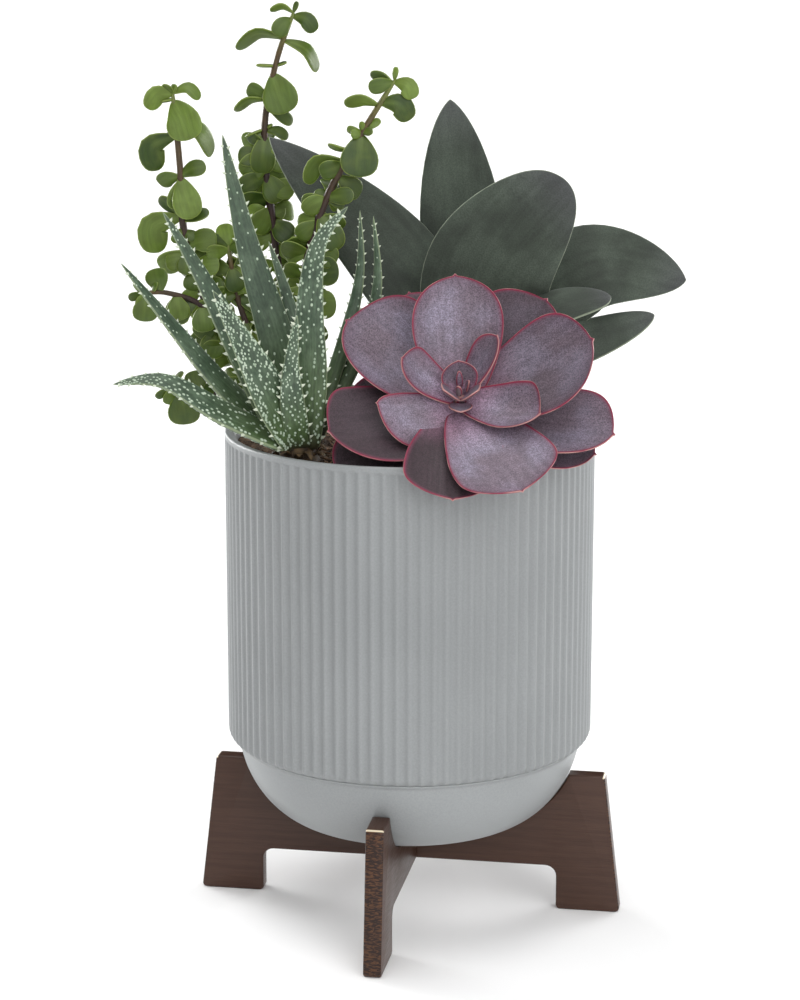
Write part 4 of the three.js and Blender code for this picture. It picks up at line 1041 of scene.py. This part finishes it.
class Paint(Nodes):
    """A material whose colour is laid on in layers."""

    def __init__(self, name, **constants):
        self.material = bpy.data.materials.new(name)
        super().__init__(self.material)
        self.shader = self.nodes["Principled BSDF"]
        for key, value in constants.items():
            self.shader.inputs[key.replace("_", " ").title().replace("Ior", "IOR")].default_value = value
        self.place = self.add("TexCoord").outputs["Object"]
        self.colour = None

    def split(self, attribute):
        node = self.add("Attribute", attribute_name=attribute, attribute_type="GEOMETRY")
        return self.add("SeparateXYZ", {0: node.outputs["Vector"]}).outputs

    def join(self, x, y, z):
        return self.add("CombineXYZ", {0: x, 1: y, 2: z}).outputs[0]

    def scaled(self, values, scales):
        """A place made of three values, each times its own scale."""
        return self.join(*(self.times(value, scale) for value, scale in zip(values, scales)))

    def noise(self, scale, detail, roughness=0.5, distortion=0.0, place=None):
        inputs = {"Vector": self.place if place is None else place, "Scale": scale, "Detail": detail}
        inputs.update({"Roughness": roughness, "Distortion": distortion})
        return self.add("TexNoise", inputs).outputs[0]

    def fade(self, value, low, high, end=1.0, start=0.0):
        """Goes smoothly from start to end while the value goes from low to high."""
        inputs = {0: value, 1: low, 2: high, 3: start, 4: end}
        return self.add("MapRange", inputs, clamp=True, interpolation_type="SMOOTHSTEP").outputs[0]

    def blend(self, share, first, second, mode="MIX"):
        node = self.add("Mix", data_type="RGBA", blend_type=mode)
        for socket, value in ((node.inputs[0], share), (node.inputs[6], first), (node.inputs[7], second)):
            self.feed(socket, value)
        return node.outputs[2]

    def shaded(self, colour, value, low, high):
        """A colour times a grey that goes from low to high with the value."""
        grey = self.fade(value, 0.3, 0.7, high, low)
        return self.blend(1.0, colour, self.join(grey, grey, grey), "MULTIPLY")

    def shade(self, value, low, high):
        self.colour = self.shaded(self.colour, value, low, high)

    def ground(self, share, first, second):
        self.colour = self.blend(share, first, second)

    def lay(self, colour, share):
        self.colour = self.blend(share, self.colour, colour)

    def cover(self, colour, value, low, high, most=1.0, least=0.0):
        """Lays a colour on, from its least to its most while the value goes from low to high."""
        self.lay(colour, self.fade(value, low, high, most, least))

    def bump(self, height, distance_mm, strength=1.0, below=None):
        inputs = {"Height": height, "Distance": distance_mm * MM, "Strength": strength}
        if below is not None:
            inputs["Normal"] = below
        return self.add("Bump", inputs).outputs[0]

    def finish(self, normal, pattern, smoothest, roughest):
        """Sets the colour, the relief and a roughness that follows a pattern."""
        self.feed(self.shader.inputs["Base Color"], self.colour)
        self.feed(self.shader.inputs["Normal"], normal)
        self.feed(self.shader.inputs["Roughness"], self.fade(pattern, 0.3, 0.7, roughest, smoothest))
        return self.material


class LeafPaint(Paint):
    """A material for leaves, with the values that a leaf's points hold."""

    def __init__(self, name, **constants):
        super().__init__(name, **constants)
        self.across, self.along, self.margin = self.split("place")
        self.tint, self.upper, self.t = self.split("kind")

    def lines(self, wide, long, detail, roughness=0.5):
        """Lines that run along the blade, different on each leaf."""
        place = self.scaled((self.across, self.along, self.tint), (wide, long, 37.0))
        return self.noise(1.0, detail, roughness, place=place)


def ceramic_paint():
    """A matt grey glaze with a fine grain, with painted shade in the grooves between the ribs, the bowl
    lightened as painted light bounced up from the floor, and a painted highlight along the bead.
    """
    paint = Paint("ceramic_paint", specular_ior_level=0.5)
    crest, bowl, bead = paint.split("place")
    clouds = paint.noise(22, 3)
    grain = paint.noise(1500, 3, 0.6)
    specks = paint.noise(4200, 1)
    paint.ground(paint.fade(clouds, 0.35, 0.65), tone(136, 139, 140), tone(140, 143, 144))
    # Painted shade: the grooves between the ribs are darkened.
    paint.shade(crest, 0.96, 1.01)
    # Painted light: the bowl below the ribs is lightened as if lit from the floor.
    paint.shade(bowl, 1.0, 1.09)
    # Painted highlight: the bead under the ribs is lightened.
    paint.shade(bead, 1.0, 1.3)
    paint.shade(grain, 0.95, 1.05)
    normal = paint.bump(grain, 0.05)
    normal = paint.bump(specks, 0.03, below=normal)
    return paint.finish(normal, grain, 0.38, 0.5)


def wood_paint(name):
    """Dark stained wood: level grain on the sides, wavy pale marks on the ends and a painted cream highlight
    along the rounded upper edge of each end.
    """
    paint = Paint(name, specular_ior_level=0.3)
    plank = paint.split("place")
    end, corner_highlight, _ = paint.split("kind")
    bands = paint.noise(1.0, 3, 0.55, place=paint.scaled(plank, (0.02, 0.7, 0.7)))
    pores = paint.noise(1.0, 2, 0.6, place=paint.scaled(plank, (0.12, 3.2, 3.2)))
    end_place = paint.join(paint.times(plank[1], 0.5), 3.0, paint.times(plank[2], 2.0))
    waves = paint.noise(1.0, 2, 0.5, 0.9, end_place)
    paint.ground(paint.fade(bands, 0.35, 0.65), tone(66, 45, 36), tone(72, 50, 40))
    paint.shade(pores, 0.9, 1.08)
    share = paint.fade(end, 0.5, 0.9)
    paint.lay(paint.blend(paint.fade(waves, 0.44, 0.62), tone(36, 22, 18), tone(84, 54, 34)), share)
    # Painted highlight: a cream line along the rounded upper edge of each end.
    paint.cover(tone(222, 208, 180), corner_highlight, 0.2, 0.8)
    relief = paint.blend(share, paint.join(pores, pores, pores), paint.join(waves, waves, waves))
    normal = paint.bump(relief, 0.1, 0.6)
    return paint.finish(normal, pores, 0.3, 0.42)


def soil_paint():
    paint = Paint("soil_paint", specular_ior_level=0.25)
    tint = paint.split("kind")[0]
    clods = paint.noise(260, 4, 0.7)
    grains = paint.noise(1500, 3, 0.7)
    paint.ground(paint.fade(clods, 0.4, 0.7), tone(62, 51, 43), tone(134, 110, 90))
    paint.cover(tone(158, 146, 126), tint, 0.9, 0.95)
    paint.shade(grains, 0.6, 1.4)
    return paint.finish(paint.bump(grains, 0.35), grains, 0.85, 1.0)


def fibre_paint():
    paint = Paint("soil_fibre_paint")
    tint = paint.split("kind")[0]
    spots = paint.noise(900, 3)
    paint.ground(tint, tone(66, 42, 27), tone(128, 92, 62))
    paint.shade(spots, 0.7, 1.25)
    return paint.finish(paint.bump(spots, 0.1), spots, 0.7, 0.9)


def rosette_paint():
    """Powdery mauve that turns pink at the base, with a crimson line round each leaf and a pale lip. Leaves
    of low lightness are darker, partly their own browner colour and partly painted shade.
    """
    paint = LeafPaint("rosette_leaf_paint", sheen_weight=0.1, sheen_roughness=0.4, specular_ior_level=0.35)
    clouds = paint.noise(60, 2)
    patches = paint.noise(700, 3, 0.6)
    specks = paint.noise(2300, 2, 0.6)
    streaks = paint.lines(0.55, 0.05, 3)
    paint.ground(paint.fade(clouds, 0.35, 0.65), tone(116, 103, 115), tone(137, 129, 147))
    paint.cover(tone(104, 82, 98), paint.margin, 7.0, 1.0, 0.45)
    # Leaves of low lightness are darkened: partly their own browner colour, partly painted shade.
    paint.cover(tone(58, 44, 50), paint.tint, 1.0, 0.0)
    paint.cover(tone(152, 114, 136), paint.t, 0.5, 0.1, 0.6)
    paint.shade(streaks, 0.88, 1.1)
    paint.shade(patches, 0.88, 1.1)
    paint.shade(specks, 0.6, 1.38)
    under = paint.shaded(tone(118, 104, 108), streaks, 0.85, 1.15)
    paint.ground(paint.upper, under, paint.colour)
    dust = paint.fade(paint.noise(1500, 2), 0.66, 0.7)
    paint.lay(tone(52, 42, 46), paint.times(dust, paint.fade(paint.margin, 9, 2, 0.8, 0.15)))
    uneven = paint.calc("ADD", paint.margin, paint.calc("SUBTRACT", clouds, 0.5))
    paint.cover(tone(120, 58, 82), uneven, 1.7, 0.7, 0.45)
    paint.cover(tone(128, 38, 64), paint.margin, 0.8, 0.45)
    lip = paint.times(paint.fade(paint.margin, 0.24, 0.1), paint.fade(clouds, 0.35, 0.6, 0.9, 0.35))
    paint.lay(tone(186, 142, 136), lip)
    normal = paint.bump(specks, 0.06)
    normal = paint.bump(streaks, 0.25, 0.6, normal)
    return paint.finish(normal, specks, 0.46, 0.62)


def propeller_paint():
    """Felted dark grey green, darker and greener toward the base of each leaf as painted shade, with a
    hair-thin pale margin.
    """
    paint = LeafPaint("propeller_leaf_paint", sheen_weight=0.15, sheen_roughness=0.5, specular_ior_level=0.3)
    clouds = paint.noise(55, 3)
    specks = paint.noise(2100, 2, 0.6)
    streaks = paint.lines(0.35, 0.04, 3)
    paint.ground(paint.fade(clouds, 0.38, 0.62), tone(51, 58, 50), tone(67, 76, 66))
    # Painted shade: each leaf is darkened toward its base near the stem.
    paint.cover(tone(40, 58, 36), paint.t, 0.4, 0.05, 0.8)
    paint.cover(tone(76, 76, 80), paint.t, 0.7, 1.0, 0.55)
    paint.shade(streaks, 0.88, 1.12)
    paint.shade(specks, 0.78, 1.24)
    paint.cover(tone(140, 150, 128), paint.margin, 0.4, 0.1, 0.8)
    return paint.finish(paint.bump(specks, 0.07), specks, 0.6, 0.8)


def aloe_paint():
    """Dark grey green with faint flecks, olive inside the base and a pale margin."""
    paint = LeafPaint("aloe_leaf_paint", specular_ior_level=0.4)
    clouds = paint.noise(130, 3)
    flecks = paint.lines(1.5, 0.45, 3, 0.6)
    lines = paint.lines(1.3, 0.03, 3)
    paint.ground(paint.fade(clouds, 0.38, 0.62), tone(60, 78, 60), tone(80, 98, 78))
    inside = paint.times(paint.fade(paint.t, 0.5, 0.1, 0.7), paint.upper)
    paint.lay(tone(74, 94, 50), inside)
    paint.shade(lines, 0.82, 1.14)
    paint.shade(flecks, 0.74, 1.16)
    paint.cover(tone(52, 44, 32), paint.t, 0.14, 0.03, 0.8)
    paint.cover(tone(150, 164, 128), paint.margin, 0.4, 0.1, 0.6)
    normal = paint.bump(lines, 0.2, 0.7)
    normal = paint.bump(flecks, 0.1, 0.5, normal)
    return paint.finish(normal, flecks, 0.38, 0.55)


def tooth_paint():
    """Pale green dots and paler, almost clear teeth."""
    paint = Paint("aloe_tooth_paint", specular_ior_level=0.4)
    spots = paint.noise(420, 2)
    tooth, middle, _ = paint.split("kind")
    dots = paint.blend(paint.fade(spots, 0.35, 0.65), tone(158, 176, 152), tone(186, 200, 180))
    dots = paint.blend(middle, tone(92, 112, 90), dots)
    paint.ground(tooth, dots, tone(196, 204, 184))
    return paint.finish(paint.bump(spots, 0.05), spots, 0.4, 0.6)


def bush_paint(name):
    """Fresh to dark green, paler below, with a painted highlight along the middle toward the base and a thin
    light margin.
    """
    paint = LeafPaint(name, specular_ior_level=0.35)
    clouds = paint.noise(150, 3)
    pores = paint.noise(2600, 2)
    veins = paint.lines(0.9, 0.12, 2)
    paint.ground(paint.tint, tone(46, 66, 18), tone(104, 126, 50))
    paint.cover(tone(78, 92, 30), clouds, 0.38, 0.64, 0.5)
    # Painted highlight: a pale band along the middle of the upper side, toward the base.
    middle = paint.fade(paint.calc("ABSOLUTE", paint.across), 1.6, 0.1, 0.25)
    paint.lay(tone(124, 144, 74), paint.times(middle, paint.fade(paint.t, 0.8, 0.1)))
    under = paint.blend(paint.tint, tone(82, 98, 46), tone(106, 120, 66))
    paint.ground(paint.upper, under, paint.colour)
    paint.shade(veins, 0.88, 1.1)
    paint.cover(tone(130, 146, 66), paint.margin, 0.5, 0.15, 0.6)
    normal = paint.bump(pores, 0.03)
    normal = paint.bump(veins, 0.12, 0.5, normal)
    return paint.finish(normal, clouds, 0.32, 0.46)


def bush_stem_paint(name):
    paint = Paint(name, specular_ior_level=0.45)
    t = paint.split("kind")[2]
    drawn_up = paint.add("VectorMath", {0: paint.place, 1: (1.0, 1.0, 0.35)}, operation="MULTIPLY").outputs[0]
    bark = paint.noise(700, 3, 0.6, place=drawn_up)
    paint.ground(paint.fade(t, 0.5, 0.95), tone(46, 27, 25), tone(82, 66, 38))
    paint.cover(tone(106, 118, 58), t, 0.85, 1.0)
    paint.shade(bark, 0.72, 1.25)
    return paint.finish(paint.bump(bark, 0.2, 0.8), bark, 0.45, 0.65)


def root_stem_paint(name):
    paint = Paint(name, specular_ior_level=0.3)
    bark = paint.noise(380, 4, 0.65)
    paint.ground(paint.fade(bark, 0.35, 0.65), tone(44, 34, 26), tone(98, 80, 56))
    return paint.finish(paint.bump(bark, 0.4), bark, 0.6, 0.8)


# Camera, floor and sky
def make_camera():
    camera = bpy.data.objects.new("camera", bpy.data.cameras.new("camera"))
    camera.data.lens = LENS_MM
    camera.data.sensor_width = SENSOR_MM
    camera.data.clip_end = VIEW_END_M
    camera.location = CAMERA_PLACE_M
    camera.rotation_euler = (math.radians(CAMERA_PITCH_DEG), 0, math.radians(CAMERA_TURN_DEG))
    bpy.context.scene.collection.objects.link(camera)
    bpy.context.scene.camera = camera


def make_floor():
    """A plain pale floor that is wide enough to end out of view."""
    mesh = bpy.data.meshes.new("floor")
    corners = [(x * FLOOR_HALF_M, y * FLOOR_HALF_M, 0) for x, y in ((-1, -1), (1, -1), (1, 1), (-1, 1))]
    mesh.from_pydata(corners, [], [(0, 1, 2, 3)])
    paint = Paint("floor_paint", roughness=0.9, specular_ior_level=0.1)
    haze = paint.noise(3, 2)
    colour = paint.blend(haze, (0.90, 0.90, 0.90, 1), (0.92, 0.92, 0.92, 1))
    paint.feed(paint.shader.inputs["Base Color"], colour)
    mesh.materials.append(paint.material)
    floor = bpy.data.objects.new("floor", mesh)
    bpy.context.scene.collection.objects.link(floor)


def make_sky():
    """A dim studio sky with soft bright areas in front, above and on both sides behind the object."""
    world = bpy.data.worlds.new("studio")
    sky = Nodes(world)
    view = sky.add("TexCoord").outputs["Generated"]
    total = SKY_LEAST
    for direction, start, full, brightness in SKY_AREAS:
        inputs = {0: view, 1: unit(np.array(direction, float)).tolist()}
        closeness = sky.add("VectorMath", inputs, operation="DOT_PRODUCT").outputs["Value"]
        share = sky.calc("DIVIDE", sky.calc("SUBTRACT", closeness, start), full - start, clamp=True)
        total = sky.calc("ADD", sky.times(share, brightness), total)
    background = sky.nodes["Background"]
    sky.feed(background.inputs["Color"], (1, 1, 1, 1))
    sky.feed(background.inputs["Strength"], total)
    bpy.context.scene.world = world
    bpy.context.scene.view_settings.view_transform = "Standard"


make_camera()
make_floor()
make_sky()
make_pot()
make_plank("plank_side", "stand_plank_side", True, STAND_TURN_DEG)
make_plank("plank_front", "stand_plank_front", False, STAND_TURN_DEG + 90)
make_soil(random.Random(SOIL_SEED))
make_rosette(random.Random(ROSETTE_SEED))
make_propeller_plant(random.Random(PROPELLER_SEED))
make_aloe(random.Random(ALOE_SEED))
make_bush("bush_front", "elephant_bush_front", FRONT_STEMS, FRONT_FOOT, random.Random(FRONT_BUSH_SEED))
make_bush("bush_back", "elephant_bush_back", BACK_STEMS, BACK_FOOT, random.Random(BACK_BUSH_SEED))
